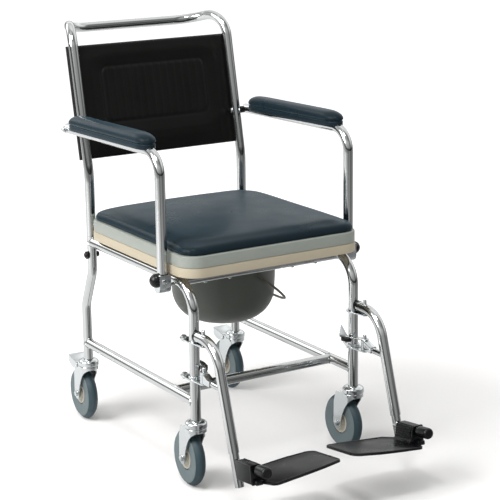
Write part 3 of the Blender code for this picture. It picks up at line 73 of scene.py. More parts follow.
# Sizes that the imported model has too: frame
TUBE_R = 0.011
GAP = 0.0003
BOLT_R = 0.0033
FRAME_X = 0.2008
FRONT_LEG_Y = -0.180
FRONT_BEND_R = 0.062
REAR_LEG_Y = FRONT_LEG_Y + 0.504
S_BEND_LOW_Z = 0.290
S_BEND_HIGH_Z = 0.378
S_BEND_R = 0.060
POST_Y = FRONT_LEG_Y + 0.4643
LEG_BOTTOM_Z = 0.157
LEG_TOP_Z = 0.460
RAIL_Z = 0.4453
SIDE_BAR_Z = 0.1955
CROSSBAR_Y = FRONT_LEG_Y + 0.0885
SEAT_BAR_Y = FRONT_LEG_Y + 0.0565
SPIGOT_R = 0.0092
SPIGOT_LENGTH = 0.058
JOINT_BOLT_Z = 0.416
BACK_BAR_Z = 0.487
POST_BEND_Z = 0.6025
POST_BEND_R = 0.200
POST_LEAN = 0.2024
BACK_CORNER_Z = 0.9379
BACK_CORNER_R = 0.054
PUSH_BAR_SETBACK = 0.0967
PUSH_BAR_DROP = 0.025
PUSH_BAR_INSET = 0.040
PUSH_BAR_R = 0.070

# Casters
WHEEL_R = 0.0625
HUB_HALF_WIDTH = 0.0131
AXLE_R = 0.0038
KINGPIN_R = 0.0042
CASTER_TRAIL = 0.035
CASTER_HEAD_R = 0.0238
HEAD_BOTTOM_Z = 0.1412
FORK_TOP_Z = HEAD_BOTTOM_Z - GAP
FORK_PLATE = 0.0026
FORK_HALF_WIDTH = 0.0186
FORK_WALL = 0.0022
SKIRT_R = 0.0226
SKIRT_DROP = 0.009
EYE_R = 0.013
CASTER_TURN = {"front_right": -4.5, "front_left": 2.0, "rear_right": -3.0, "rear_left": 0.0}
PEDAL_PIVOT = Vector((0.0, 0.029, 0.133))
PEDAL_PIN_R = 0.0028
PEDAL_HALF_WIDTH = 0.0206
PEDAL_THICK = 0.0016

# Seat, bucket and back
SEAT_HALF_WIDTH = 0.2205
SEAT_DEPTH = 0.457
SEAT_CORNER_R = 0.045
SEAT_MID_Y = FRONT_LEG_Y - 0.0095 + SEAT_DEPTH / 2
SEAT_SKIRT_Z = 0.4625
SEAT_TOP_Z = 0.483
SEAT_WALL = 0.004
SEAT_RIB = 0.003
SEAT_HOLE_R = 0.108
BOARD_THICK = 0.0247
CUSHION_EDGE = 0.0175
CUSHION_CROWN = 0.021
BUCKET_Y = FRONT_LEG_Y + 0.2185
BUCKET_R = 0.1187
BUCKET_WALL = 0.0025
BUCKET_RIM_R = 0.134
BUCKET_BOTTOM_Z = 0.295
BUCKET_CORNER_R = 0.070
BUCKET_TAPER = 0.0040
GUIDE_Z = 0.438
GUIDE_R = 0.004
GUIDE_HALF_WIDTH = 0.127
GUIDE_REAR_TO_POST = 0.0468
BAIL_R = 0.0028
BAIL_PIN_R = 0.003
BAIL_PIVOT_Z = 0.428
BAIL_REACH = 0.1662
BAIL_ANGLE = math.radians(38)
PANEL_HALF_WIDTH = 0.2105
PANEL_BOTTOM_Z = 0.633
PANEL_HEIGHT = 0.257
PANEL_THICK = 0.0125
PANEL_FIELD_HALF = 0.135
PANEL_FIELD_LOW = 0.078
PANEL_FIELD_HIGH = 0.205

# Armrests
ARM_X = 0.2345
ARM_Y = FRONT_LEG_Y + 0.0685
ARM_PIVOT_Z = 0.707
ARM_RISE = 0.0232
ARM_BEND_R = 0.050
ARM_BOTTOM_Z = 0.441
ARM_TAIL = 0.012
PAD_HALF_WIDTH = 0.022
LOCK_PIN_Z = 0.450
LOCK_TOP_Z = 0.4620
LOCK_HALF_DEPTH = 0.0135
LOCK_INNER_X = 0.2215
STUD_R = 0.0035
STUD_Z = ARM_BOTTOM_Z - GAP - STUD_R
KNOB_R = 0.015
KNOB_HEIGHT = 0.0155

# Footrests
HANGER_X = 0.2025
HANGER_Z = 0.3425
HANGER_BACK = 0.0140
HANGER_BEND_R = 0.065
HANGER_SLOPE = 0.3071
HANGER_CORNER_Y = FRONT_LEG_Y - 0.0913
HANGER_END_Z = 0.1325
SWING_Y = FRONT_LEG_Y - 0.041
HINGE_PIN_R = 0.004
UPPER_PIN_TIP_Z = 0.3625
LOWER_PLATE_Z = 0.2485
LOWER_PIN_TIP_Z = 0.283
PLATE_THICK = 0.003
SLEEVE_R = 0.0085
SLEEVE_HEIGHT = 0.023
STRUT_R = 0.0065
EXTENSION_R = 0.0095
EXTENSION_INSIDE = 0.095
EXTENSION_END_Z = 0.066
FOOT = Vector((0.1990, FRONT_LEG_Y - 0.206, 0.1195))
FOOT_TILT = math.radians(7)
FOOTPLATE_RISE = math.radians(5.3)
FOOT_PIN_R = 0.0042

SIDES = {"right": -1, "left": 1}
SIDE_VIEW = Matrix(((0, 0, 1, 0), (1, 0, 0, 0), (0, 1, 0, 0), (0, 0, 0, 1)))


def linear(hex_colour):
    """Turn an sRGB hex value to linear light."""
    channels = [int(hex_colour[i:i + 2], 16) / 255 for i in (1, 3, 5)]
    return [c / 12.92 if c <= 0.04045 else ((c + 0.055) / 1.055) ** 2.4 for c in channels]


def colour_property(name, description, hex_colour):
    """A colour setting whose default is given as sRGB hex."""
    return FloatVectorProperty(name=name, description=description, subtype="COLOR", size=3,
                               min=0.0, max=1.0, default=linear(hex_colour))


class ChairSizes(bpy.types.PropertyGroup):
    """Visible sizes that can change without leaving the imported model's space."""

    tube_sides: IntProperty(
        name="Tube sides", description="Facets round each chromed tube", default=32, min=12)
    bead: FloatProperty(
        name="Weld bead", description="Radius of the bead round each welded joint",
        default=0.0013, unit="LENGTH")
    rib_depth: FloatProperty(
        name="Back rib depth", description="Height of the back panel's embossed ribs",
        default=0.0017, unit="LENGTH")
    rib_count: IntProperty(
        name="Back ribs", description="Ribs across the back panel's field", default=14, min=2)
    cushion_puff: FloatProperty(
        name="Cushion puff", description="How far the inflated cushion may swell",
        default=0.006, unit="LENGTH")


class ChairColours(bpy.types.PropertyGroup):
    """Finishes, as the eye sees them."""

    chrome: colour_property("Chrome", "Plated tube", "#C6C8C8")
    zinc: colour_property("Zinc", "Plated pressings and bolts", "#CCD0D1")
    seat: colour_property("Seat vinyl", "Cushion and arm pads", "#182329")
    back: colour_property("Back vinyl", "Back panel", "#0A0908")
    board: colour_property("Board", "Grey moulded board", "#8D928B")
    base: colour_property("Commode seat", "Beige moulded seat", "#AEA48F")
    bucket: colour_property("Bucket", "Moulded bucket", "#3E423C")
    tyre: colour_property("Tyre", "Solid rubber, on the walls", "#596669")
    # Painted shade: the tread and the tyre's rim by the hub take this darker colour.
    tread: colour_property("Tread", "Solid rubber, where it rolls", "#22383F")
    hub: colour_property("Hub", "Moulded wheel centre", "#A9A599")
    black: colour_property("Black plastic", "Knobs, footplates and caps", "#0B0C0E")
    floor: colour_property("Floor", "Pale studio floor", "#F7F6F5")


class StudioSettings(bpy.types.PropertyGroup):
    """Light and camera."""

    sky: FloatProperty(name="Sky", description="Strength of the light all round", default=0.62)
    key: FloatProperty(name="Key", description="Power of the large soft light", default=115.0,
                       unit="POWER")
    lens: FloatProperty(name="Lens", description="Focal length in millimetres", default=120.09)


# Materials

def add(tree, kind, settings=None, **inputs):
    """Add a node, set its properties and sockets, and link what is given as a socket."""
    node = tree.nodes.new(kind)
    for key, value in (settings or {}).items():
        setattr(node, key, value)
    for key, value in inputs.items():
        socket = node.inputs[int(key[1:]) if key[1:].isdigit() else key.replace("_", " ")]
        if isinstance(value, bpy.types.NodeSocket):
            tree.links.new(value, socket)
        else:
            socket.default_value = value
    return node


def new_material(name):
    """A material with its tree, its shader and its place on the object, in metres."""
    material = bpy.data.materials.new(name)
    material.use_nodes = True
    tree = material.node_tree
    shader = tree.nodes["Principled BSDF"]
    place = add(tree, "ShaderNodeTexCoord").outputs["Object"]
    return material, tree, shader, place


def colour4(colour, gain=1.0):
    """A colour made lighter or darker, with its alpha."""
    return (*[min(1.0, channel * gain) for channel in colour], 1.0)


def ramp(tree, value, low, high, to_low, to_high):
    """A value moved from one range to another."""
    return add(tree, "ShaderNodeMapRange", Value=value, From_Min=low, From_Max=high,
               To_Min=to_low, To_Max=to_high).outputs["Result"]


def mixed(tree, factor, first, second, how="MIX"):
    """Two colours mixed by a factor; each of the three may be a value or a socket."""
    return add(tree, "ShaderNodeMix", {"data_type": "RGBA", "blend_type": how}, i0=factor,
               i6=first, i7=second).outputs[2]


def blotch(tree, place, size, detail=3.0):
    """Soft variation whose patches are about size metres across."""
    return add(tree, "ShaderNodeTexNoise", Vector=place, Scale=1.0 / size,
               Detail=detail).outputs["Fac"]


def tinted(tree, shader, factor, colour, spread):
    """Base colour that drifts a little round its own value."""
    mix = mixed(tree, factor, colour4(colour, 1.0 - spread), colour4(colour, 1.0 + spread))
    tree.links.new(mix, shader.inputs["Base Color"])


def bumped(tree, shader, height, depth):
    """Bump whose height runs from nothing to depth metres."""
    bump = add(tree, "ShaderNodeBump", Height=height, Strength=1.0, Distance=depth)
    tree.links.new(bump.outputs["Normal"], shader.inputs["Normal"])


def drifting(name, colour, patch, spread, rough, detail=3.0, **sockets):
    """A material whose colour and roughness drift over patches of a size in metres."""
    material, tree, shader, place = new_material(name)
    drift = blotch(tree, place, patch, detail)
    tinted(tree, shader, drift, colour, spread)
    tree.links.new(ramp(tree, drift, 0.3, 0.7, *rough), shader.inputs["Roughness"])
    for socket, value in sockets.items():
        shader.inputs[socket.replace("_", " ")].default_value = value
    return material, tree, shader, place


def chrome_plate(colours):
    """Bright chromium on drawn steel tube: mirror-like, with faint polishing haze."""
    material, tree, shader, place = drifting("chrome_plate_polished", colours.chrome, 0.03, 0.03,
                                             (0.05, 0.11), Metallic=1.0)
    bumped(tree, shader, blotch(tree, place, 0.012, 1.0), 0.00001)
    return material


def zinc_plate(colours):
    """Bright zinc on pressed steel: satin, and faintly cloudy from the passivating bath."""
    material, tree, shader, place = drifting("zinc_plate_pressed_steel", colours.zinc, 0.012,
                                             0.05, (0.12, 0.20), Metallic=1.0)
    # Press marks 12 mm across and 0.14 mm deep, enough to bend reflections.
    bumped(tree, shader, blotch(tree, place, 0.012, 1.0), 0.00014)
    return material


def dull_wire():
    """Bail wire gone dull: dark grey steel with a low, streaky shine."""
    material, tree, shader, place = drifting("bail_wire_dulled", linear("#6A675F"), 0.01, 0.25,
                                             (0.3, 0.5), Metallic=1.0)
    bumped(tree, shader, blotch(tree, place, 0.002), 0.00004)
    return material


def moulded(name, colour, roughness, grain, depth, spread=0.05, gloss=0.5):
    """Injection-moulded plastic: even colour, soft sheen, fine spark-eroded grain."""
    rough = (roughness - 0.05, roughness + 0.06)
    material, tree, shader, place = drifting(name, colour, 0.05, spread, rough, IOR=1.49,
                                             Specular_IOR_Level=gloss)
    bumped(tree, shader, blotch(tree, place, grain, 2.0), depth)
    return material


def vinyl(name, colour, roughness, grain, depth, gloss, blue_sheen=0.0):
    """Calendered vinyl over foam: pebble grain, low sheen, a slightly greasy gloss."""
    rough = (roughness - 0.04, roughness + 0.05)
    # Painted reflection: a blue-tinted sheen makes the dark sheet look blue-grey where it is seen at
    # a slant.
    material, tree, shader, place = drifting(
        name, colour, 0.07, 0.07, rough, Specular_IOR_Level=gloss, Sheen_Weight=blue_sheen,
        Sheen_Roughness=0.45, Sheen_Tint=(0.45, 0.80, 1.0, 1.0))
    pebble = add(tree, "ShaderNodeTexVoronoi", {"feature": "SMOOTH_F1"}, Vector=place,
                 Scale=1.0 / grain, Smoothness=0.6)
    bumped(tree, shader, pebble.outputs["Distance"], depth)
    return material


def tyre_rubber(colours):
    """Grey non-marking rubber, matt; the tread and the rim by the hub are painted darker than the
    walls, as painted shade.
    """
    material, tree, shader, place = drifting("grey_rubber_moulded", colours.tyre, 0.015, 0.10,
                                             (0.48, 0.66), 4.0, IOR=1.52)
    wall = shader.inputs["Base Color"].links[0].from_socket
    # Painted shade: the tread and the rim by the hub take the darker tread colour.
    tread_and_rim_shade = add(tree, "ShaderNodeAttribute", {"attribute_name": "tread"}).outputs["Fac"]
    mix = mixed(tree, tread_and_rim_shade, wall, colour4(colours.tread))
    tree.links.new(mix, shader.inputs["Base Color"])
    bumped(tree, shader, blotch(tree, place, 0.0012, 3.0), 0.00006)
    return material


def bands(tree, value, stops):
    """Greys blended between stops along a value from 0 to 1."""
    node = add(tree, "ShaderNodeValToRGB", Fac=value)
    while len(node.color_ramp.elements) < len(stops):
        node.color_ramp.elements.new(0.5)
    for element, (place, grey) in zip(node.color_ramp.elements, stops):
        element.position = place
        element.color = (grey, grey, grey, 1.0)
    return node.outputs["Color"]


def bearing(tree, place):
    """Bearing round the chair: 0.16 is the camera, 0.41 its right, 0.66 behind, 0.91 its left."""
    return add(tree, "ShaderNodeTexGradient", {"gradient_type": "RADIAL"},
               Vector=place).outputs["Fac"]


def floor_paint(colours):
    """Matt white studio paper; to what mirrors it, it shows painted grey bands instead, a painted
    reflection of dim surroundings round the paper.
    """
    material, tree, shader, place = new_material("studio_paper")
    path = add(tree, "ShaderNodeLightPath")
    mirrored = path.outputs["Is Glossy Ray"]
    # Painted reflection: grey bands by bearing, shown only to glossy rays, that darken the chrome
    # where it mirrors the floor.
    reflection_bands = bands(tree, bearing(tree, place), (
        (0.0, 0.66), (0.06, 0.56), (0.125, 0.46), (0.155, 0.15), (0.19, 0.42), (0.25, 0.44),
        (0.31, 0.20), (0.39, 0.28), (0.46, 0.55), (0.66, 1.0), (0.80, 0.95), (0.91, 0.85)))
    tree.links.new(mixed(tree, mirrored, colour4(colours.floor), reflection_bands),
                   shader.inputs["Base Color"])
    shader.inputs["Roughness"].default_value = 0.9
    shader.inputs["Specular IOR Level"].default_value = 0.1
    # A breath of its own light, seen by the camera only, keeps the far paper white.
    shader.inputs["Emission Color"].default_value = (1.0, 1.0, 1.0, 1.0)
    away = add(tree, "ShaderNodeVectorMath", {"operation": "LENGTH"}, i0=place).outputs["Value"]
    glow = ramp(tree, away, 0.35, 1.4, 0.0, 0.50)
    tree.links.new(ramp(tree, path.outputs["Is Camera Ray"], 0.0, 1.0, 0.0, glow),
                   shader.inputs["Emission Strength"])
    return material


MATERIALS = {}


def make_materials(colours):
    """Make every finish, filed under its slot, and the bail's own."""
    MATERIALS.update({
        "chrome": chrome_plate(colours),
        "zinc_plated_steel": zinc_plate(colours),
        "black_plastic": moulded("black_polypropylene_moulded", colours.black, 0.30, 0.0009,
                                 0.00002, 0.12, 0.36),
        "grey_plastic": moulded("grey_abs_moulded", colours.board, 0.36, 0.0015, 0.00002),
        "beige_plastic": moulded("beige_abs_moulded", colours.base, 0.40, 0.0015, 0.00002),
        "bucket_plastic": moulded("grey_polypropylene_blow_moulded", colours.bucket, 0.42,
                                  0.004, 0.00005),
        "hub_plastic": moulded("ivory_nylon_moulded", colours.hub, 0.45, 0.0012, 0.00003),
        "tyre_rubber": tyre_rubber(colours),
        "seat_vinyl": vinyl("grained_seat_vinyl", colours.seat, 0.30, 0.0011, 0.00004, 0.07, 0.10),
        "back_vinyl": vinyl("grained_back_vinyl", colours.back, 0.42, 0.0011, 0.00005, 0.26),
        "dull_wire": dull_wire(),
    })


# Meshes

def bent(points, radii, step=math.radians(4)):
    """A path through corner points, with each inner corner rounded to its radius."""
    points = [Vector(point) for point in points]
    path = [points[0]]
    for before, corner, after, radius in zip(points, points[1:], points[2:], radii):
        back, ahead = (before - corner).normalized(), (after - corner).normalized()
        turn = math.pi - back.angle(ahead)
        reach = radius * math.tan(turn / 2)
        centre = corner + (back + ahead).normalized() * radius / math.cos(turn / 2)
        count = max(2, math.ceil(turn / step))
        start = corner + back * reach - centre
        axis = start.cross(corner + ahead * reach - centre)
        for index in range(count + 1):
            path.append(centre + Matrix.Rotation(turn * index / count, 3, axis) @ start)
    path.append(points[-1])
    return path


def stations(path):
    """A matrix for each point of a path, with Z along it and as little twist as can be."""
    path = [Vector(point) for point in path]
    ahead = [(second - first).normalized() for first, second in zip(path, path[1:])]
    tangents = ahead[:1] + [(a + b).normalized() for a, b in zip(ahead, ahead[1:])] + ahead[-1:]
    turn = Vector((0, 0, 1)).rotation_difference(tangents[0]).to_matrix()
    frames = []
    for index, (point, tangent) in enumerate(zip(path, tangents)):
        if index:
            turn = tangents[index - 1].rotation_difference(tangent).to_matrix() @ turn
        frames.append(Matrix.Translation(point) @ turn.to_4x4())
    return frames


def grow(bm, edges):
    """Extrude a loop of edges, and return the new loop's edges and vertices."""
    grown = bmesh.ops.extrude_edge_only(bm, edges=edges)["geom"]
    return ([item for item in grown if isinstance(item, bmesh.types.BMEdge)],
            [item for item in grown if isinstance(item, bmesh.types.BMVert)])


def sweep(bm, path, radius, sides=32, closed=False):
    """A round bar along a path."""
    frames = stations(path)
    start = bmesh.ops.create_circle(bm, cap_ends=False, segments=sides, radius=radius)["verts"]
    bmesh.ops.transform(bm, matrix=frames[0], verts=start)
    first = list({edge for vert in start for edge in vert.link_edges})
    if not closed:
        bmesh.ops.contextual_create(bm, geom=first)
    edges = first
    for last, now in zip(frames, frames[1:]):
        edges, verts = grow(bm, edges)
        bmesh.ops.transform(bm, matrix=now @ last.inverted(), verts=verts)
    if closed:
        bmesh.ops.bridge_loops(bm, edges=edges + first)
    else:
        bmesh.ops.contextual_create(bm, geom=edges)


def made_since(bm, before):
    """The vertices that were made after a set of them."""
    return [vert for vert in bm.verts if vert not in before]


def put(bm, before, matrix):
    """Place what was made after a set of vertices."""
    if matrix is not None:
        bmesh.ops.transform(bm, matrix=matrix, verts=made_since(bm, before))


def revolve(bm, profile, matrix=None, steps=64, closed=False):
    """Spin a profile of (radius, height) about Z, then place it."""
    before = set(bm.verts)
    points = [bm.verts.new((radius, 0.0, height)) for radius, height in profile]
    ends = list(zip(points, points[1:])) + ([(points[-1], points[0])] if closed else [])
    edges = [bm.edges.new(pair) for pair in ends]
    bmesh.ops.spin(bm, geom=points + edges, axis=(0, 0, 1), cent=(0, 0, 0), steps=steps,
                   angle=2 * math.pi, use_merge=True)
    put(bm, before, matrix)


def disc(bm, start, end, radius, steps=32, rim=0.0):
    """A short round bar between two points, with its rims rounded."""
    start, end = Vector(start), Vector(end)
    height = (end - start).length
    turn = Vector((0, 0, 1)).rotation_difference(end - start).to_matrix().to_4x4()
    profile = [(0.0, 0.0), (radius - rim, 0.0), (radius, rim), (radius, height - rim),
               (radius - rim, height), (0.0, height)]
    revolve(bm, profile, Matrix.Translation(start) @ turn, steps)


def hexagon(bm, start, end, radius, rim=0.0005):
    """A six-sided nut or bolt head between two points."""
    start, end = Vector(start), Vector(end)
    turn = Vector((0, 0, 1)).rotation_difference(end - start).to_matrix().to_4x4()
    before = set(bm.verts)
    bmesh.ops.create_cone(bm, cap_ends=True, segments=6, radius1=radius, radius2=radius,
                          depth=(end - start).length,
                          matrix=Matrix.Translation((start + end) / 2) @ turn)
    soften(bm, rim, 2, 30, before)


def outline_solid(bm, outline, low, high, matrix=None, holes=(), rim=0.0, segments=2):
    """A flat outline with round holes, given thickness and placed."""
    before = set(bm.verts)
    loop = [bm.verts.new((x, y, low)) for x, y in outline]
    edges = [bm.edges.new((a, b)) for a, b in zip(loop, loop[1:] + loop[:1])]
    for x, y, radius in holes:
        ring = bmesh.ops.create_circle(bm, cap_ends=False, segments=24, radius=radius,
                                       matrix=Matrix.Translation((x, y, low)))["verts"]
        edges += list({edge for vert in ring for edge in vert.link_edges})
    filled = bmesh.ops.triangle_fill(bm, use_beauty=True, use_dissolve=False, edges=edges)
    faces = [item for item in filled["geom"] if isinstance(item, bmesh.types.BMFace)]
    grown = bmesh.ops.extrude_face_region(bm, geom=faces)["geom"]
    verts = [item for item in grown if isinstance(item, bmesh.types.BMVert)]
    bmesh.ops.translate(bm, vec=(0, 0, high - low), verts=verts)
    new_faces = list({face for vert in made_since(bm, before) for face in vert.link_faces})
    bmesh.ops.recalc_face_normals(bm, faces=new_faces)
    if rim:
        soften(bm, rim, segments, 40, before)
    put(bm, before, matrix)


def block(bm, low, high, matrix=None, rim=0.0):
    """A box between two corners with rounded edges."""
    before = set(bm.verts)
    low, high = Vector(low), Vector(high)
    bmesh.ops.create_cube(bm, size=1.0)
    made = made_since(bm, before)
    bmesh.ops.scale(bm, vec=[abs(side) for side in high - low], verts=made)
    bmesh.ops.translate(bm, vec=(low + high) / 2, verts=made)
    if rim:
        soften(bm, rim, 3, 40, before)
    put(bm, before, matrix)


def soften(bm, width, segments, angle, before=()):
    """Round the sharp edges of what was made after a set of vertices."""
    edges = [edge for edge in bm.edges if edge.is_manifold and edge.verts[0] not in before
             and edge.calc_face_angle(0.0) > math.radians(angle)]
    bmesh.ops.bevel(bm, geom=edges, offset=width, offset_type="OFFSET", segments=segments,
                    profile=0.5, affect="EDGES", material=-1, clamp_overlap=True)


def loft(bm, rings, closed=False):
    """A solid through equal rings of points: capped, or closed on itself as a hollow ring."""
    start = bmesh.ops.create_circle(bm, cap_ends=False, segments=len(rings[0]), radius=1.0)
    verts = start["verts"]
    for vert, point in zip(verts, rings[0]):
        vert.co = point
    first = list({edge for vert in verts for edge in vert.link_edges})
    ordered = [edge for a, b in zip(verts, verts[1:] + verts[:1])
               for edge in a.link_edges if edge.other_vert(a) is b]
    if not closed:
        bmesh.ops.contextual_create(bm, geom=first)
    edges = ordered
    for points in rings[1:]:
        edges, new_verts = grow(bm, edges)
        for vert, point in zip(new_verts, points):
            vert.co = point
    if closed:
        bmesh.ops.bridge_loops(bm, edges=edges + first)
    else:
        bmesh.ops.contextual_create(bm, geom=edges)


def rounded_rectangle(half_x, half_y, radius, per_corner=12):
    """A rounded rectangle's outline, counter-clockwise, with a point in the middle of each side."""
    points = []
    middles = ((0.0, half_y), (-half_x, 0.0), (0.0, -half_y), (half_x, 0.0))
    for quarter, (sx, sy) in enumerate(((1, 1), (-1, 1), (-1, -1), (1, -1))):
        centre = (sx * (half_x - radius), sy * (half_y - radius))
        points += arc(centre, radius, 90 * quarter, 90 * (quarter + 1), per_corner - 1)
        points.append(middles[quarter])
    return points


def arc(centre, radius, start, end, count, rise=None):
    """Points on an arc, or on an ellipse of another radius in y, with angles in degrees."""
    high = radius if rise is None else rise
    angles = [math.radians(start + (end - start) * index / count) for index in range(count + 1)]
    return [(centre[0] + radius * math.cos(a), centre[1] + high * math.sin(a)) for a in angles]


def moved(x, y, points, way=1):
    """Points of an outline, given from (x, y); with way -1 they run the other way in x."""
    return [(x + way * ahead, y + up) for ahead, up in points]


def finish(bm, name, body, slot, nodes=(), sharp=35, cuts=()):
    """Turn a bmesh into a finished piece that rides on a body and wears a material."""
    obj = solid(bm, name)
    if cuts:
        carve(obj, "DIFFERENCE", *cuts)
    return dress(obj, body, slot, nodes, sharp)


def dress(obj, body, slot, nodes=(), sharp=35, look=None):
    """Give a piece its material and smooth shading, its body and the nodes it stands for."""
    mesh = obj.data
    mesh.materials.clear()
    mesh.materials.append(MATERIALS[look or slot])
    mesh.shade_smooth()
    if sharp:
        mesh.set_sharp_from_angle(angle=math.radians(sharp))
    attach(obj, body)
    if nodes:
        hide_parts(*nodes)
    return obj


def linked(name, data):
    """A new object in the scene."""
    obj = bpy.data.objects.new(name, data)
    bpy.context.scene.collection.objects.link(obj)
    return obj


def solid(bm, name="tool"):
    """A bmesh as an object, merged and with its faces outwards."""
    bmesh.ops.remove_doubles(bm, verts=bm.verts, dist=0.000002)
    bmesh.ops.dissolve_degenerate(bm, dist=0.0000005, edges=bm.edges)
    bmesh.ops.recalc_face_normals(bm, faces=bm.faces)
    mesh = bpy.data.meshes.new(name)
    bm.to_mesh(mesh)
    bm.free()
    return linked(name, mesh)


def carve(obj, operation, *tools):
    """Cut, join or keep what an object shares with others, which are used up."""
    for other in tools:
        modifier = obj.modifiers.new("carve", "BOOLEAN")
        modifier.operation = operation
        modifier.solver = "EXACT"
        modifier.object = other
    freeze(obj)
    for other in tools:
        bpy.data.objects.remove(other, do_unlink=True)
    return obj


def freeze(obj):
    """Apply an object's modifiers to its mesh."""
    bpy.context.view_layer.update()
    graph = bpy.context.evaluated_depsgraph_get()
    mesh = bpy.data.meshes.new_from_object(obj.evaluated_get(graph))
    obj.modifiers.clear()
    obj.data = mesh


def bar_tool(start, end, radius):
    """A round bar to cut a bore with."""
    bm = bmesh.new()
    sweep(bm, [start, end], radius)
    return solid(bm)


def reopened(obj):
    """The mesh of an object to work on again; the object is used up."""
    bm = bmesh.new()
    bm.from_mesh(obj.data)
    bpy.data.objects.remove(obj, do_unlink=True)
    return bm


def tube(path, radius, sides, name, body, node):
    """A chromed tube of one sweep that stands for one node."""
    bm = bmesh.new()
    sweep(bm, path, radius, sides)
    finish(bm, name, body, "chrome", [node])


def outward(side, place):
    """From an upright form to one at a place that points to the chair's side."""
    return Matrix.Translation(place) @ Matrix.Rotation(side * math.pi / 2, 4, "Y")


def bead(bm, centre, axis, through, size):
    """Weld bead round a bar that meets a tube of its own radius; axis is the bar's way out."""
    centre, axis, through = Vector(centre), Vector(axis).normalized(), Vector(through).normalized()
    across = axis.cross(through)
    path = []
    for index in range(49):
        angle = 2 * math.pi * index / 48
        side, along = math.cos(angle) * TUBE_R, math.sin(angle) * TUBE_R
        out = math.sqrt(max(0.0, TUBE_R ** 2 - side ** 2)) + size / 2
        path.append(centre + across * side * 1.03 + through * along * 1.03 + axis * out)
    sweep(bm, path[:-1], size, 8, closed=True)


# Frame

def post_y(z):
    """The back post's axis at height z."""
    return POST_Y + max(0.0, z - POST_BEND_Z) * POST_LEAN


def rail_path(side):
    """A seat rail and the front leg that it bends down into."""
    x = side * FRAME_X
    return bent([(x, POST_Y - TUBE_R / 2, RAIL_Z), (x, FRONT_LEG_Y, RAIL_Z),
                 (x, FRONT_LEG_Y, LEG_BOTTOM_Z)], [FRONT_BEND_R])


def back_path():
    """Up one post, across the push bar and down the other post."""
    half = []
    corner_y = post_y(BACK_CORNER_Z)
    for side in (-1, 1):
        half.append([(side * FRAME_X, POST_Y, LEG_TOP_Z + GAP),
                     (side * FRAME_X, POST_Y, POST_BEND_Z),
                     (side * FRAME_X, corner_y, BACK_CORNER_Z),
                     (side * (FRAME_X - PUSH_BAR_INSET), corner_y + PUSH_BAR_SETBACK,
                      BACK_CORNER_Z - PUSH_BAR_DROP)])
    radii = [POST_BEND_R, BACK_CORNER_R, PUSH_BAR_R]
    return bent(half[0] + half[1][::-1], radii + radii[::-1])


def build_frame(sizes):
    """Chromed tubes with a weld bead round each joint."""
    sides, size = sizes.tube_sides, sizes.bead
    for word, side in SIDES.items():
        x = side * FRAME_X
        bm = bmesh.new()
        sweep(bm, rail_path(side), TUBE_R, sides)
        disc(bm, (x + side * TUBE_R / 2, ARM_Y, STUD_Z),
             (side * (LOCK_INNER_X + 0.007), ARM_Y, STUD_Z), STUD_R, 24, 0.0006)
        bead(bm, (x, POST_Y, RAIL_Z), (0, -1, 0), (0, 0, 1), size)
        finish(bm, "seat_rail_tube_" + word, "frame", "chrome", ["side_rail_" + word])
        leg = bent([(x, REAR_LEG_Y, LEG_BOTTOM_Z), (x, REAR_LEG_Y, S_BEND_LOW_Z),
                    (x, POST_Y, S_BEND_HIGH_Z), (x, POST_Y, LEG_TOP_Z)], [S_BEND_R, S_BEND_R])
        tube(leg, TUBE_R, sides, "rear_leg_tube_" + word, "frame", "rear_leg_" + word)
        bm = bmesh.new()
        sweep(bm, [(x, FRONT_LEG_Y + TUBE_R / 2, SIDE_BAR_Z),
                   (x, REAR_LEG_Y - TUBE_R / 2, SIDE_BAR_Z)], TUBE_R, sides)
        bead(bm, (x, FRONT_LEG_Y, SIDE_BAR_Z), (0, 1, 0), (0, 0, 1), size)
        bead(bm, (x, REAR_LEG_Y, SIDE_BAR_Z), (0, -1, 0), (0, 0, 1), size)
        finish(bm, "low_side_tube_" + word, "frame", "chrome", ["side_bar_" + word])
        build_joint_bolt(word, side)
    inner = FRAME_X - TUBE_R / 2
    for name, node, y, z in (("low_cross_tube", "crossbar", CROSSBAR_Y, SIDE_BAR_Z),
                             ("seat_cross_tube", "seat_front_bar", SEAT_BAR_Y, RAIL_Z)):
        bm = bmesh.new()
        sweep(bm, [(-inner, y, z), (inner, y, z)], TUBE_R, sides)
        for side in (-1, 1):
            bead(bm, (side * FRAME_X, y, z), (-side, 0, 0), (0, 1, 0), size)
        if node == "seat_front_bar":
            for x in (-0.139, -0.079, 0.079, 0.139):
                disc(bm, (x, y, z - TUBE_R + 0.001), (x, y, z - TUBE_R - 0.002), 0.0042, 24, 0.0012)
        finish(bm, name, "frame", "chrome", [node])
    bm = bmesh.new()
    sweep(bm, back_path(), TUBE_R, sides)
    sweep(bm, [(-inner, POST_Y, BACK_BAR_Z), (inner, POST_Y, BACK_BAR_Z)], TUBE_R, sides)
    for side in (-1, 1):
        bead(bm, (side * FRAME_X, POST_Y, BACK_BAR_Z), (-side, 0, 0), (0, 0, 1), size)
        x = side * FRAME_X
        disc(bm, (x, POST_Y, LEG_TOP_Z - SPIGOT_LENGTH), (x, POST_Y, LEG_TOP_Z + TUBE_R), SPIGOT_R)
    finish(bm, "back_tube", "frame", "chrome", ["back_frame"])
    build_guide()


def build_guide():
    """The rod that the bucket slides on: along both sides and across the front."""
    front_y, rear_y = SEAT_BAR_Y + TUBE_R + GUIDE_R - 0.0015, POST_Y - GUIDE_REAR_TO_POST
    end_x, side_x = FRAME_X - 0.0095, GUIDE_HALF_WIDTH
    corners = [(-end_x, rear_y, GUIDE_Z), (-side_x, rear_y, GUIDE_Z), (-side_x, front_y, GUIDE_Z),
               (side_x, front_y, GUIDE_Z), (side_x, rear_y, GUIDE_Z), (end_x, rear_y, GUIDE_Z)]
    rod = bent(corners, [0.012, 0.020, 0.020, 0.012], math.radians(8))
    tube(rod, GUIDE_R, 20, "bucket_guide_rod", "frame", "bucket_guide")


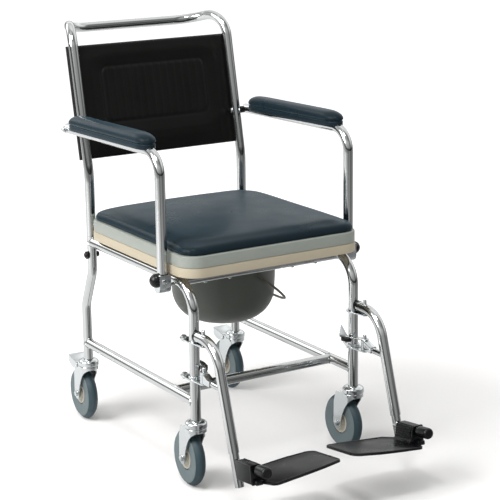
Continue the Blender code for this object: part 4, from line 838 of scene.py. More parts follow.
def build_joint_bolt(word, side):
    """Black-capped bolt through each post joint."""
    bm = bmesh.new()
    face = TUBE_R + GAP
    cap = [(0.0, face + 0.0085)] + arc((0.0, face + 0.0045), 0.0068, 72, 0, 6, 0.00408)
    revolve(bm, cap + [(0.0088, face + 0.0040), (0.0088, face + 0.0006), (0.0082, face),
                       (BOLT_R, face), (BOLT_R, -face), (0.0062, -face), (0.0068, -face - 0.0008),
                       (0.0060, -face - 0.0042), (0.0040, -face - 0.0050),
                       (0.0, -face - 0.0050)],
            outward(side, (side * FRAME_X, POST_Y, JOINT_BOLT_Z)), 32)
    finish(bm, "post_bolt_cap_" + word, "frame", "black_plastic", ["back_joint_bolt_" + word])


# Casters

def leg_place(corner):
    """The foot of a leg's axis, on the floor."""
    end, side = corner.split("_")
    return Vector((SIDES[side] * FRAME_X, FRONT_LEG_Y if end == "front" else REAR_LEG_Y, 0.0))


def caster_matrix(corner):
    """From a caster's own frame, with its swivel axis at the origin, to the chair."""
    turn = Matrix.Rotation(math.radians(CASTER_TURN[corner]), 4, "Z")
    return Matrix.Translation(leg_place(corner)) @ turn


def wheel_matrix(corner):
    """From a wheel's own frame, turning about Z, to the chair."""
    axle = Matrix.Translation((0.0, CASTER_TRAIL, WHEEL_R))
    return caster_matrix(corner) @ axle @ Matrix.Rotation(math.pi / 2, 4, "Y")


def cheek_profile():
    """Side view of the fork: open front, swept front edge, round eye and upright rear edge."""
    top, skirt_low = FORK_TOP_Z + FORK_WALL, FORK_TOP_Z - SKIRT_DROP
    start, middle = Vector((-FORK_HALF_WIDTH, skirt_low)), Vector((FORK_HALF_WIDTH - 0.006, 0.1085))
    end = Vector((CASTER_TRAIL - EYE_R, WHEEL_R + 0.004))
    points = [(-2 * SKIRT_R, top), (-2 * SKIRT_R, skirt_low)]
    for index in range(15):
        t = index / 14
        points.append(tuple(start * (1 - t) ** 2 + middle * 2 * t * (1 - t) + end * t ** 2))
    points += arc((CASTER_TRAIL, WHEEL_R), EYE_R, 190, 360, 20)
    step, step_z = SKIRT_R + 3 * GAP, PEDAL_PIVOT.z + 0.0034
    return points + [(CASTER_TRAIL + EYE_R - 0.0015, WHEEL_R + 0.050), (0.039, step_z),
                     (step, step_z), (step, top)]


def pressed_fork():
    """Pressed fork: round cap with a rolled skirt, cheeks in one U, axle with its nut and head."""
    low, under = FORK_TOP_Z - SKIRT_DROP, FORK_TOP_Z - FORK_PLATE
    roll = arc((SKIRT_R - 0.0030, FORK_TOP_Z - 0.0030), 0.0030, 90, 0, 6)
    bm = bmesh.new()
    revolve(bm, [(0.0046, FORK_TOP_Z)] + roll + [(SKIRT_R, low), (SKIRT_R - FORK_WALL, low),
                 (SKIRT_R - FORK_WALL, under), (0.0046, under)], None, 64, closed=True)
    fork = solid(bm)
    back, inner = CASTER_TRAIL + 2 * EYE_R, FORK_HALF_WIDTH - FORK_WALL
    outline = [(-FORK_HALF_WIDTH, back)] + arc((0.0, 0.0), FORK_HALF_WIDTH, 180, 360, 24)
    outline += [(FORK_HALF_WIDTH, back), (inner, back)] + arc((0.0, 0.0), inner, 360, 180, 24)
    bm = bmesh.new()
    outline_solid(bm, outline + [(-inner, back)], WHEEL_R - 2 * EYE_R, FORK_TOP_Z - 0.0005)
    cheeks = solid(bm)
    bm = bmesh.new()
    outline_solid(bm, cheek_profile(), -2 * FORK_HALF_WIDTH, 2 * FORK_HALF_WIDTH, SIDE_VIEW)
    carve(cheeks, "INTERSECT", solid(bm))
    carve(fork, "UNION", cheeks)
    bm = reopened(fork)
    end = FORK_HALF_WIDTH + 0.0045
    axle = Vector((0.0, CASTER_TRAIL, WHEEL_R))
    disc(bm, axle - Vector((end - 0.001, 0, 0)), axle + Vector((end - 0.001, 0, 0)), AXLE_R, 24)
    for side in (-1, 1):
        out = Vector((side, 0, 0))
        disc(bm, axle + out * (FORK_HALF_WIDTH - 0.0005), axle + out * (FORK_HALF_WIDTH + 0.0009),
             0.0085, 32, 0.0003)
        hexagon(bm, axle + out * (FORK_HALF_WIDTH + 0.0008), axle + out * end, 0.0068, 0.0006)
    return solid(bm)


def pedal_form():
    """Bent brake pedal: tread, side flanges, lip and pin."""
    y, z = PEDAL_PIVOT.y, PEDAL_PIVOT.z
    top = moved(y, z, ((-0.0045, 0.0065), (-0.0022, 0.0088), (0.002, 0.0103), (0.014, 0.0124),
                       (0.026, 0.0142), (0.034, 0.0156), (0.0400, 0.0170), (0.0425, 0.0182)))
    outline = top + moved(y, z, (
        (0.0425, 0.0017), (0.038, -0.0030), (0.032, -0.0063), (0.025, -0.0083),
        (0.017, -0.0090), (0.009, -0.0077), (0.003, -0.0055), (-0.0045, -0.0020)))
    under = [(py, pz - PEDAL_THICK) for py, pz in top]
    inside = [(y - 0.02, under[0][1])] + under + [(y + 0.06, under[-1][1]), (y + 0.06, z - 0.03),
                                                  (y - 0.02, z - 0.03)]
    bm = bmesh.new()
    outline_solid(bm, outline, -PEDAL_HALF_WIDTH, PEDAL_HALF_WIDTH, SIDE_VIEW, rim=0.0009)
    pedal = solid(bm)
    inner = PEDAL_HALF_WIDTH - PEDAL_THICK
    bm = bmesh.new()
    outline_solid(bm, inside, -inner, inner, SIDE_VIEW)
    carve(pedal, "DIFFERENCE", solid(bm))
    bm = reopened(pedal)
    lip = moved(y, z, ((0.0135, -0.0048), (0.0165, -0.0048), (0.0165, 0.0120), (0.0135, 0.0115)))
    outline_solid(bm, lip, -0.012, 0.012, SIDE_VIEW)
    reach = PEDAL_HALF_WIDTH + 0.0010
    disc(bm, (-reach, y, z), (reach, y, z), PEDAL_PIN_R, 24, 0.0005)
    return solid(bm)


def placed(form, name, matrix):
    """A copy of a form, with its place in its mesh."""
    mesh = form.data.copy()
    mesh.transform(matrix)
    return linked(name, mesh)


def build_casters():
    """Four casters: domed head, pressed fork, moulded hub and solid tyre, with rear pedals."""
    fork, pedal = pressed_fork(), pedal_form()
    rim, nut = HEAD_BOTTOM_Z + 0.0075, FORK_TOP_Z - FORK_PLATE - GAP
    dome = arc((0.0118, rim), 0.0120, 90, 0, 10, 0.0070)
    head = [(0.0, LEG_BOTTOM_Z - GAP), (0.0118, LEG_BOTTOM_Z - GAP)] + dome
    head += [(CASTER_HEAD_R, HEAD_BOTTOM_Z + 0.0010), (CASTER_HEAD_R - 0.0008, HEAD_BOTTOM_Z),
             (KINGPIN_R, HEAD_BOTTOM_Z), (KINGPIN_R, nut), (0.0075, nut), (0.0075, nut - 0.005),
             (0.0, nut - 0.005)]
    for corner in CASTER_TURN:
        bm = bmesh.new()
        revolve(bm, head, Matrix.Translation(leg_place(corner)), 64)
        finish(bm, "domed_head_" + corner, "frame", "zinc_plated_steel", ["caster_head_" + corner])
        dress(placed(fork, "pressed_fork_" + corner, caster_matrix(corner)), "fork_" + corner,
              "zinc_plated_steel", ["caster_fork_" + corner])
        build_wheel(corner)
        if corner.startswith("rear"):
            dress(placed(pedal, "bent_pedal_" + corner, caster_matrix(corner)), "pedal_" + corner,
                  "zinc_plated_steel", ["brake_pedal_" + corner])
    bpy.data.objects.remove(fork, do_unlink=True)
    bpy.data.objects.remove(pedal, do_unlink=True)


def build_wheel(corner):
    """Webbed hub with a raised ring, and a tyre that tells its tread from its walls."""
    half = HUB_HALF_WIDTH
    hub = [(0.0042, half), (0.0080, half), (0.0090, half - 0.0008), (0.0104, half - 0.0046),
           (0.0114, half - 0.0055), (0.0198, half - 0.0055), (0.0212, half - 0.0049),
           (0.0221, half - 0.0026), (0.0229, half - 0.0020), (0.0240, half - 0.0020),
           (0.0246, half - 0.0028), (0.0246, half - 0.0056), (0.0276, half - 0.0060)]
    bm = bmesh.new()
    revolve(bm, hub + [(r, -h) for r, h in hub[::-1]], wheel_matrix(corner), 72, closed=True)
    finish(bm, "moulded_hub_" + corner, "wheel_" + corner, "hub_plastic", ["hub_" + corner])
    tyre = [(0.0278, 0.0060), (0.0262, 0.0068), (0.0262, 0.0098), (0.0270, 0.0108),
            (0.0290, 0.0112), (0.0350, 0.0114), (0.0362, 0.0117), (0.0470, 0.0119),
            (0.0482, 0.0122), (0.0524, 0.0122), (0.0540, 0.0119), (0.0548, 0.0110),
            (0.0556, 0.0100), (0.0580, 0.0083), (0.0602, 0.0060), (0.0616, 0.0034),
            (WHEEL_R, 0.0010)]
    bm = bmesh.new()
    revolve(bm, tyre + [(r, -h) for r, h in tyre[::-1]], steps=96, closed=True)
    # Marks the tread and the rim by the hub for the rubber's painted shade.
    layer = bm.verts.layers.float.new("tread")
    for vert in bm.verts:
        vert[layer] = float(not 0.0269 < vert.co.xy.length < 0.0547)
    bmesh.ops.transform(bm, matrix=wheel_matrix(corner), verts=bm.verts)
    finish(bm, "solid_tyre_" + corner, "wheel_" + corner, "tyre_rubber", ["tyre_" + corner])


# Seat

def seat_ring(inset, z):
    """The seat's outline, drawn in and at height z."""
    outline = rounded_rectangle(SEAT_HALF_WIDTH - inset, SEAT_DEPTH / 2 - inset,
                                max(0.004, SEAT_CORNER_R - inset))
    return [(x, SEAT_MID_Y + y, z) for x, y in outline]


def seat_rings(z, steps):
    """Rings of the seat's outline, each given by its inset and its height over z."""
    return [seat_ring(inset, z + height) for inset, height in steps]


def hole_ring(radius, z):
    """A round ring with as many points as the seat's outline, evenly spread."""
    count = len(seat_ring(0.0, 0.0))
    angles = [2 * math.pi * (index + 1) / count for index in range(count)]
    return [(radius * math.cos(a), BUCKET_Y + radius * math.sin(a), z) for a in angles]


def build_seat_base():
    """Commode seat with its rolled edge, hole and collar, and the ribs that rest on the tubes."""
    top, low, wall = SEAT_TOP_Z, SEAT_SKIRT_Z, SEAT_WALL
    rings = [seat_ring(0.0006, low), seat_ring(0.0, low + 0.0008), seat_ring(0.0, top - 0.0028),
             seat_ring(0.0008, top - 0.0010), seat_ring(0.0026, top)]
    rings += [hole_ring(SEAT_HOLE_R + r, top - h) for r, h in
              ((0.014, 0.0), (0.0060, 0.0002), (0.0025, 0.0012), (0.0007, 0.0030), (0.0, 0.006))]
    rings += [hole_ring(SEAT_HOLE_R, top - 0.030), hole_ring(SEAT_HOLE_R + wall, top - 0.030),
              hole_ring(SEAT_HOLE_R + wall, top - wall), seat_ring(wall, top - wall),
              seat_ring(wall, low)]
    bm = bmesh.new()
    loft(bm, rings, closed=True)
    rest = RAIL_Z + TUBE_R + GAP
    front, rear = SEAT_MID_Y - SEAT_DEPTH / 2 + SEAT_CORNER_R, SEAT_MID_Y + SEAT_DEPTH / 2 - 0.002
    half = SEAT_RIB / 2
    for x in (-FRAME_X, FRAME_X):
        block(bm, (x - half, front, rest), (x + half, rear, top - 0.002))
    for y in (SEAT_BAR_Y, BUCKET_Y + BUCKET_RIM_R + 0.008):
        block(bm, (-FRAME_X, y - half, rest), (FRAME_X, y + half, top - 0.002))
    finish(bm, "moulded_commode_seat", "frame", "beige_plastic", ["commode_seat"])


def build_board():
    """Grey board under the cushion, hollow below, with a rounded upper edge."""
    low, high, wall = SEAT_TOP_Z + GAP, SEAT_TOP_Z + GAP + BOARD_THICK, SEAT_WALL
    rings = [seat_ring(wall + 0.001, high - wall)]
    rings += seat_rings(low, ((wall + 0.001, 0.0), (0.0018, 0.0), (0.0011, 0.0006),
                              (0.0010, 0.0016)))
    rings += seat_rings(high, ((0.0010, -0.0030), (0.0016, -0.0012), (0.0030, -0.0003),
                               (0.0060, 0.0)))
    bm = bmesh.new()
    loft(bm, rings)
    edge = SEAT_HALF_WIDTH - 0.003
    for share in (-1, 1):
        y = SEAT_MID_Y + share * SEAT_DEPTH / 6
        block(bm, (-edge, y - SEAT_RIB / 2, low), (edge, y + SEAT_RIB / 2, high - 0.002))
    finish(bm, "moulded_cushion_board", "lid", "grey_plastic", ["cushion_board"])


def inflate(obj, pressure, reach, floor_z):
    """Swell a closed padded form as cloth; no point moves further than reach or below floor_z."""
    remesh = obj.modifiers.new("remesh", "REMESH")
    remesh.mode = "VOXEL"
    remesh.voxel_size = 0.005
    freeze(obj)
    start = [vert.co.copy() for vert in obj.data.vertices]
    held = obj.vertex_groups.new(name="held")
    held.add([v.index for v in obj.data.vertices if v.co.z < floor_z + 0.0025], 1.0, "REPLACE")
    cloth = obj.modifiers.new("cloth", "CLOTH")
    cloth.settings.quality = 6
    cloth.settings.use_pressure = True
    cloth.settings.uniform_pressure_force = pressure
    cloth.settings.effector_weights.gravity = 0.0
    cloth.settings.vertex_group_mass = "held"
    for number in range(1, 21):
        bpy.context.scene.frame_set(number)
    freeze(obj)
    bpy.context.scene.frame_set(1)
    obj.vertex_groups.clear()
    bm = bmesh.new()
    bm.from_mesh(obj.data)
    moves = [vert.co - old for vert, old in zip(bm.verts, start)]
    for _ in range(24):
        moves = [(moves[vert.index] + sum((moves[edge.other_vert(vert).index]
                                           for edge in vert.link_edges), Vector()))
                 / (1 + len(vert.link_edges)) for vert in bm.verts]
    for vert, old, move in zip(bm.verts, start, moves):
        vert.co = old + move * min(1.0, reach / max(move.length, 1e-9))
    bmesh.ops.smooth_vert(bm, verts=bm.verts, factor=0.5, use_axis_x=True, use_axis_y=True,
                          use_axis_z=True)
    for vert in bm.verts:
        vert.co.z = max(vert.co.z, floor_z)
    bm.to_mesh(obj.data)
    bm.free()


def build_cushion(sizes):
    """Upholstered cushion: drawn-in foot, swollen sides and a crowned top."""
    low = SEAT_TOP_Z + BOARD_THICK + 2 * GAP
    slack = sizes.cushion_puff * 0.3
    rings = seat_rings(low, ((0.030, 0.0005), (0.0070, 0.0), (0.0040, 0.0012), (0.0022, 0.0035),
                             (0.0014 + slack / 3, 0.0070)))
    shoulder, bend = low + 0.0200 - slack, 0.0090
    for share in (0.2, 0.4, 0.6, 0.8, 1.0):
        turn = share * math.radians(82)
        rings.append(seat_ring(0.0018 + slack / 3 + bend * (1 - math.cos(turn)),
                               shoulder - bend * (1 - math.sin(turn))))
    crown = low + CUSHION_EDGE + CUSHION_CROWN - 0.0138 - shoulder
    for scale in (0.97, 0.93, 0.87, 0.79, 0.68, 0.56, 0.43, 0.29, 0.15):
        rings.append([(x * scale, SEAT_MID_Y + (y - SEAT_MID_Y) * scale,
                       shoulder + crown * (1.0 - scale ** 2.2))
                      for x, y, _ in seat_ring(0.0097, 0.0)])
    bm = bmesh.new()
    loft(bm, rings)
    obj = solid(bm, "upholstered_cushion")
    inflate(obj, 4.0, sizes.cushion_puff, low)
    subdivide = obj.modifiers.new("subdivide", "SUBSURF")
    subdivide.levels = subdivide.render_levels = 1
    dress(obj, "lid", "seat_vinyl", ["seat_cushion"], sharp=0)


# Bucket

def build_bucket():
    """Bucket with a rolled rim and bosses for its bail."""
    rim_low, wall = GUIDE_Z + GUIDE_R + GAP, BUCKET_WALL
    rim_top = rim_low + wall
    centre = (BUCKET_R - BUCKET_TAPER - BUCKET_CORNER_R, BUCKET_BOTTOM_Z + BUCKET_CORNER_R)
    inner = [(r, max(h, BUCKET_BOTTOM_Z + wall))
             for r, h in arc(centre, BUCKET_CORNER_R - wall, -90, 0, 18)]
    rim = arc((BUCKET_RIM_R - wall / 2, rim_top - wall / 2), wall / 2, 90, -90, 8)
    profile = [(0.0, BUCKET_BOTTOM_Z + wall)] + inner
    profile += [(BUCKET_R - wall - 0.0012, rim_top - 0.004), (BUCKET_R - wall + 0.0010, rim_top)]
    profile += rim + [(BUCKET_R + 0.0010, rim_low), (BUCKET_R, rim_low - 0.0015)]
    profile += arc(centre, BUCKET_CORNER_R, 0, -90, 18) + [(0.0, BUCKET_BOTTOM_Z)]
    bm = bmesh.new()
    revolve(bm, profile, Matrix.Translation((0.0, BUCKET_Y, 0.0)), 96)
    for side in (-1, 1):
        start = BUCKET_Y + side * (BUCKET_R - wall / 2)
        end = BUCKET_Y + side * (BUCKET_R + 0.0095)
        disc(bm, (0, start, BAIL_PIVOT_Z), (0, BUCKET_Y + side * (BUCKET_R + 0.0022), BAIL_PIVOT_Z),
             0.0075, 32, 0.0005)
        disc(bm, (0, start, BAIL_PIVOT_Z), (0, end + side * GAP, BAIL_PIVOT_Z), BAIL_PIN_R, 24)
        disc(bm, (0, end, BAIL_PIVOT_Z), (0, end + side * 0.002, BAIL_PIVOT_Z), 0.005, 24, 0.0006)
    finish(bm, "moulded_bucket", "bucket", "bucket_plastic", ["bucket"])
    build_bail()


def build_bail():
    """Wire bail: a flattened bow that lies to one side, with an eye round each boss pin."""
    half_width = BUCKET_R + 0.0065
    ring = [(0.0034, -0.0022), (0.0063, -0.0022), (0.0068, -0.0016), (0.0068, 0.0016),
            (0.0063, 0.0022), (0.0034, 0.0022)]
    turn = Matrix.Rotation(math.pi / 2, 4, "X")
    path = []
    for index in range(49):
        angle = math.pi * index / 48
        along = BAIL_REACH * math.sin(angle)
        across = half_width * math.copysign(abs(math.cos(angle)) ** 0.7, math.cos(angle))
        path.append((along * math.cos(BAIL_ANGLE), BUCKET_Y - across,
                     BAIL_PIVOT_Z - along * math.sin(BAIL_ANGLE)))
    bm = bmesh.new()
    sweep(bm, path, BAIL_R, 16)
    for side in (-1, 1):
        place = Matrix.Translation((0, BUCKET_Y + side * half_width, BAIL_PIVOT_Z))
        revolve(bm, ring, place @ turn, 32, closed=True)
    dress(solid(bm, "bowed_bail"), "bail", "zinc_plated_steel", ["bucket_bail"], look="dull_wire")


# Backrest

def build_backrest(sizes):
    """Padded panel: rolled edge, swollen border and a sewn field of upright ribs."""
    lean = math.atan(POST_LEAN)
    across, up, corner = 220, 96, 0.016
    middle = (PANEL_FIELD_LOW + PANEL_FIELD_HIGH) / 2
    field_height = PANEL_FIELD_HIGH - PANEL_FIELD_LOW
    bm = bmesh.new()
    bmesh.ops.create_grid(bm, x_segments=across, y_segments=up, size=0.5)
    for vert in bm.verts:
        x = vert.co.x * 2 * PANEL_HALF_WIDTH
        z = (vert.co.y + 0.5) * PANEL_HEIGHT
        edge = min(PANEL_HALF_WIDTH - abs(x), z, PANEL_HEIGHT - z)
        roll = 0.0034 * (1 - math.sqrt(1 - (1 - min(1.0, edge / 0.0055)) ** 2))
        dx = abs(x) - (PANEL_FIELD_HALF - corner)
        dz = abs(z - middle) - (field_height / 2 - corner)
        outside = math.hypot(max(dx, 0.0), max(dz, 0.0)) + min(max(dx, dz), 0.0) - corner
        seam = math.exp(-(outside / 0.0022) ** 2)
        share = (x + PANEL_FIELD_HALF) / (2 * PANEL_FIELD_HALF)
        wave = abs(math.sin(math.pi * share * sizes.rib_count))
        inside = min(1.0, max(0.0, -outside / 0.006))
        clear = min(1.0, max(0.0, (FRAME_X - 0.020 - abs(x)) / 0.020))
        border = min(1.0, max(0.0, outside / 0.030)) * min(1.0, edge / 0.030) * clear
        depth = roll + 0.0009 * seam - sizes.rib_depth * math.sqrt(wave) * inside - 0.0035 * border
        vert.co = (x, depth, z)
    edges = [edge for edge in bm.edges if edge.is_boundary]
    for inset, depth in ((0.0, PANEL_THICK - 0.0030), (0.0012, PANEL_THICK - 0.0008),
                         (0.0035, PANEL_THICK)):
        edges, verts = grow(bm, edges)
        for vert in verts:
            vert.co.y = depth
            if abs(vert.co.x) > 0.9 * PANEL_HALF_WIDTH:
                vert.co.x -= math.copysign(inset, vert.co.x)
            if vert.co.z < 0.01:
                vert.co.z += inset
            elif vert.co.z > PANEL_HEIGHT - 0.01:
                vert.co.z -= inset
    bmesh.ops.contextual_create(bm, geom=edges)
    front = (TUBE_R + GAP) / math.cos(lean)
    origin = Vector((0.0, post_y(PANEL_BOTTOM_Z) + front, PANEL_BOTTOM_Z))
    bmesh.ops.transform(bm, matrix=Matrix.Translation(origin) @ Matrix.Rotation(-lean, 4, "X"),
                        verts=bm.verts)
    obj = finish(bm, "sewn_back_panel", "frame", "back_vinyl", ["backrest_panel"], sharp=60)


# Armrests

def arm_z(y):
    """The axis of an armrest's upper tube at y."""
    return ARM_PIVOT_Z + (post_y(ARM_PIVOT_Z) - y) * ARM_RISE


def build_armrests(sizes):
    """Bent tube, two-tier pad, pivot with spacer, foot bracket and pull knob on each side."""
    pivot_y = post_y(ARM_PIVOT_Z)
    for word, side in SIDES.items():
        x = side * ARM_X
        rear_y = pivot_y + ARM_TAIL
        path = bent([(x, rear_y, arm_z(rear_y)), (x, ARM_Y, arm_z(ARM_Y)),
                     (x, ARM_Y, ARM_BOTTOM_Z)], [ARM_BEND_R])
        tube(path, TUBE_R, sizes.tube_sides, "bent_arm_tube_" + word, "arm_" + word,
             "arm_tube_" + word)
        build_pad(word, side)
        build_pivot(word, side, pivot_y)
        build_lock(word, side)


# How far each ring of an arm pad is drawn in, its height, and how far its ends are pulled back:
# the foot, the lower tier, the seam, the upper tier, and the top that falls away to the ends.
PAD_RINGS = (
    (0.0030, 0.0020, 0.0040), (0.0016, 0.0026, 0.0024), (0.0011, 0.0045, 0.0016),
    (0.0009, 0.0110, 0.0012), (0.0011, 0.0128, 0.0015), (0.0024, 0.0141, 0.0030),
    (0.0033, 0.0149, 0.0040), (0.0022, 0.0156, 0.0030), (0.0006, 0.0168, 0.0010),
    (0.0, 0.0190, 0.0004), (0.0003, 0.0222, 0.0014), (0.0014, 0.0258, 0.0046),
    (0.0034, 0.0291, 0.0094), (0.0062, 0.0318, 0.0158), (0.0094, 0.0337, 0.0230),
    (0.0130, 0.0348, 0.0310), (0.0168, 0.0353, 0.0400), (0.0205, 0.0355, 0.0500))


def pad_ring(half_length, inset, height, pull):
    """An arm pad's outline: straight sides and long elliptical ends."""
    reach, half_width = 0.034, PAD_HALF_WIDTH - inset
    straight = half_length - pull - reach
    outline = arc((0.0, straight), half_width, 0, 180, 24, reach)
    outline += arc((0.0, -straight), half_width, 180, 360, 24, reach)
    return [(x, y, height) for x, y in outline]


def build_pad(word, side):
    """Two-tier pad with rounded ends, grooved to sit on its tube."""
    front_y = ARM_Y + 0.030
    rear_y = post_y(ARM_PIVOT_Z) - 0.0175
    middle, half_length = (front_y + rear_y) / 2, (rear_y - front_y) / 2
    bm = bmesh.new()
    loft(bm, [pad_ring(half_length, *ring) for ring in PAD_RINGS])
    matrix = Matrix.Translation((side * ARM_X, middle, arm_z(middle)))
    matrix = matrix @ Matrix.Rotation(-math.atan(ARM_RISE), 4, "X")
    bmesh.ops.transform(bm, matrix=matrix, verts=bm.verts)
    groove = bmesh.new()
    x, past = side * ARM_X, 0.044
    sweep(groove, bent([(x, rear_y + past, arm_z(rear_y + past)), (x, ARM_Y, arm_z(ARM_Y)),
                        (x, ARM_Y, ARM_PIVOT_Z - past)], [ARM_BEND_R]), TUBE_R + GAP)
    obj = finish(bm, "moulded_arm_pad_" + word, "arm_" + word, "seat_vinyl", ["arm_pad_" + word],
                 sharp=50, cuts=[solid(groove)])


def build_pivot(word, side, pivot_y):
    """Black spacer between post and arm, with a plated bolt head and dome nut."""
    post_face, arm_face = FRAME_X + TUBE_R + GAP, ARM_X - TUBE_R - GAP
    outer, inner = ARM_X + TUBE_R + GAP, FRAME_X - TUBE_R - GAP

    def at(x):
        return Vector((side * x, pivot_y, ARM_PIVOT_Z))

    bm = bmesh.new()
    disc(bm, at(post_face), at(arm_face), 0.0080, 32, 0.0006)
    finish(bm, "arm_spacer_" + word, "frame", "black_plastic", ["arm_pivot_bolt_" + word])
    bm = bmesh.new()
    disc(bm, at(inner), at(outer), BOLT_R, 24)
    disc(bm, at(inner), at(inner - 0.0012), 0.0075, 32, 0.0003)
    hexagon(bm, at(inner - 0.0011), at(inner - 0.0050), 0.0066, 0.0006)
    disc(bm, at(outer), at(outer + 0.0010), 0.0078, 32, 0.0003)
    hexagon(bm, at(outer + 0.0009), at(outer + 0.0042), 0.0070, 0.0006)
    revolve(bm, arc((0.0, 0.0), 0.0058, 0, 90, 8, 0.0048) + [(0.0, 0.0)],
            outward(side, at(outer + 0.0040)), 32)
    finish(bm, "arm_pivot_nut_" + word, "frame", "zinc_plated_steel")


def build_lock(word, side):
    """Rounded foot bracket with its bolt, a rubber lip at its mouth, and the domed pull knob."""
    inner, outer, round_r = LOCK_INNER_X, ARM_X + TUBE_R + 0.0025, LOCK_HALF_DEPTH
    outline = [(round_r, LOCK_TOP_Z), (-round_r, LOCK_TOP_Z)]
    outline += arc((0.0, 0.4220 + round_r), round_r, 180, 360, 24)
    turn = Matrix.Translation((side * (inner + outer) / 2, ARM_Y, 0.0)) @ SIDE_VIEW
    bm = bmesh.new()
    half = (outer - inner) / 2
    outline_solid(bm, outline, -half, half, turn, rim=0.0040, segments=6)
    x = side * ARM_X
    notch = bmesh.new()
    ends = sorted((side * (inner - 0.001), side * (inner + 0.0076)))
    block(notch, (ends[0], ARM_Y - STUD_R - GAP, 0.41), (ends[1], ARM_Y + 0.027, ARM_BOTTOM_Z))
    bore = bar_tool((x, ARM_Y, ARM_BOTTOM_Z - GAP), (x, ARM_Y, LOCK_TOP_Z + 0.018), TUBE_R + GAP)
    finish(bm, "foot_bracket_" + word, "arm_" + word, "zinc_plated_steel",
           ["arm_lock_bracket_" + word], cuts=[bore, solid(notch)])
    bm = bmesh.new()
    head = Vector((side * (ARM_X + 0.003), ARM_Y - round_r, LOCK_PIN_Z - 0.002))
    disc(bm, head + Vector((0, 0.001, 0)), head - Vector((0, 0.0010, 0)), 0.0072, 32, 0.0003)
    hexagon(bm, head - Vector((0, 0.0008, 0)), head - Vector((0, 0.0042, 0)), 0.0062, 0.0006)
    finish(bm, "foot_bracket_bolt_" + word, "arm_" + word, "zinc_plated_steel")
    low, high = LOCK_TOP_Z - 0.0020, LOCK_TOP_Z + 0.0014
    lip = [(TUBE_R + GAP, low), (TUBE_R + GAP, high), (0.0119, high), (0.0123, high - 0.0006),
           (0.0123, low)]
    bm = bmesh.new()
    revolve(bm, lip, Matrix.Translation((x, ARM_Y, 0.0)), 48, closed=True)
    finish(bm, "bracket_lip_" + word, "arm_" + word, "black_plastic")
    face = outer + GAP
    dome = arc((0.0, 0.0), KNOB_R, 84, 7, 11, KNOB_HEIGHT)
    skirt = [(KNOB_R, 0.0010), (KNOB_R - 0.0007, 0.0), (BOLT_R, 0.0),
             (BOLT_R, inner + GAP - face), (0.0, inner + GAP - face)]
    bm = bmesh.new()
    revolve(bm, [(0.0, KNOB_HEIGHT)] + dome + skirt,
            outward(side, (side * face, ARM_Y, LOCK_PIN_Z)), 48)
    finish(bm, "pull_knob_" + word, "knob_" + word, "black_plastic", ["arm_lock_knob_" + word])


# Footrests

def hanger_y(z):
    """The sloping part of a footrest hanger's axis at height z."""
    return HANGER_CORNER_Y - (HANGER_Z - z) * HANGER_SLOPE


def foot_matrix(side):
    """From a footplate's own frame (x inboard, y ahead, z up, on its hinge) to the chair."""
    own = Matrix(((-side, 0, 0, 0), (0, -1, 0, 0), (0, 0, 1, 0), (0, 0, 0, 1)))
    place = Matrix.Translation((side * FOOT.x, FOOT.y, FOOT.z))
    return place @ Matrix.Rotation(-FOOT_TILT, 4, "X") @ own


def bracket_outline(side, bolt):
    """Plan of a footrest bracket: a ring round the leg, an ear ahead and a bolt lug behind."""
    leg = Vector((side * FRAME_X, FRONT_LEG_Y))
    ring, lug = 0.0160, math.degrees(math.atan2(bolt.y - leg.y, bolt.x - leg.x))
    points = arc((side * HANGER_X, SWING_Y), 0.0095, 200, 340, 14)
    points += arc(leg, ring, -35, lug - 58, 8) + arc(bolt.xy, 0.0090, lug - 75, lug + 75, 14)
    return points + arc(leg, ring, lug + 58, 215, 8)


def build_brackets(word, side):
    """Upper and lower bracket on the front leg, each with its bolt and hinge pin."""
    leg = Vector((side * FRAME_X, FRONT_LEG_Y, 0.0))
    pin = Vector((side * HANGER_X, SWING_Y, 0.0))
    up = Vector((0, 0, 1))
    for level, top, tip in (("upper", HANGER_Z - TUBE_R - 4 * GAP, UPPER_PIN_TIP_Z),
                            ("lower", LOWER_PLATE_Z, LOWER_PIN_TIP_Z)):
        bolt = leg + Vector((side * 0.0066, 0.032, 0.0))
        if (level, word) == ("upper", "left"):
            bolt = leg + Vector((0.0190, 0.0240, 0.0))
        bm = bmesh.new()
        outline_solid(bm, bracket_outline(side, bolt), top - PLATE_THICK, top,
                      holes=[(leg.x, leg.y, TUBE_R + GAP)], rim=0.0006)
        if level == "lower":
            sleeve = [(TUBE_R + GAP, top - 0.001), (TUBE_R + GAP, top + 0.006),
                      (0.0132, top + 0.006), (0.0138, top + 0.0053), (0.0138, top - 0.001)]
            revolve(bm, sleeve, Matrix.Translation(leg), 48, closed=True)
        disc(bm, pin + up * (top - PLATE_THICK / 2), pin + up * tip, HINGE_PIN_R, 32, 0.0012)
        hexagon(bm, bolt + up * (top - 0.0080), bolt + up * (top - 0.0029), 0.0060)
        hexagon(bm, bolt + up * (top - 0.0001), bolt + up * (top + 0.0045), 0.0060)
        finish(bm, level + "_hanger_bracket_" + word, "frame", "zinc_plated_steel",
               ["footrest_%s_bracket_%s" % (level, word)])


def hanger_end(side):
    """The foot of a hanger's tube and the way that it points there."""
    down = Vector((0.0, -HANGER_SLOPE, -1.0)).normalized()
    return Vector((side * HANGER_X, hanger_y(HANGER_END_Z), HANGER_END_Z)), down


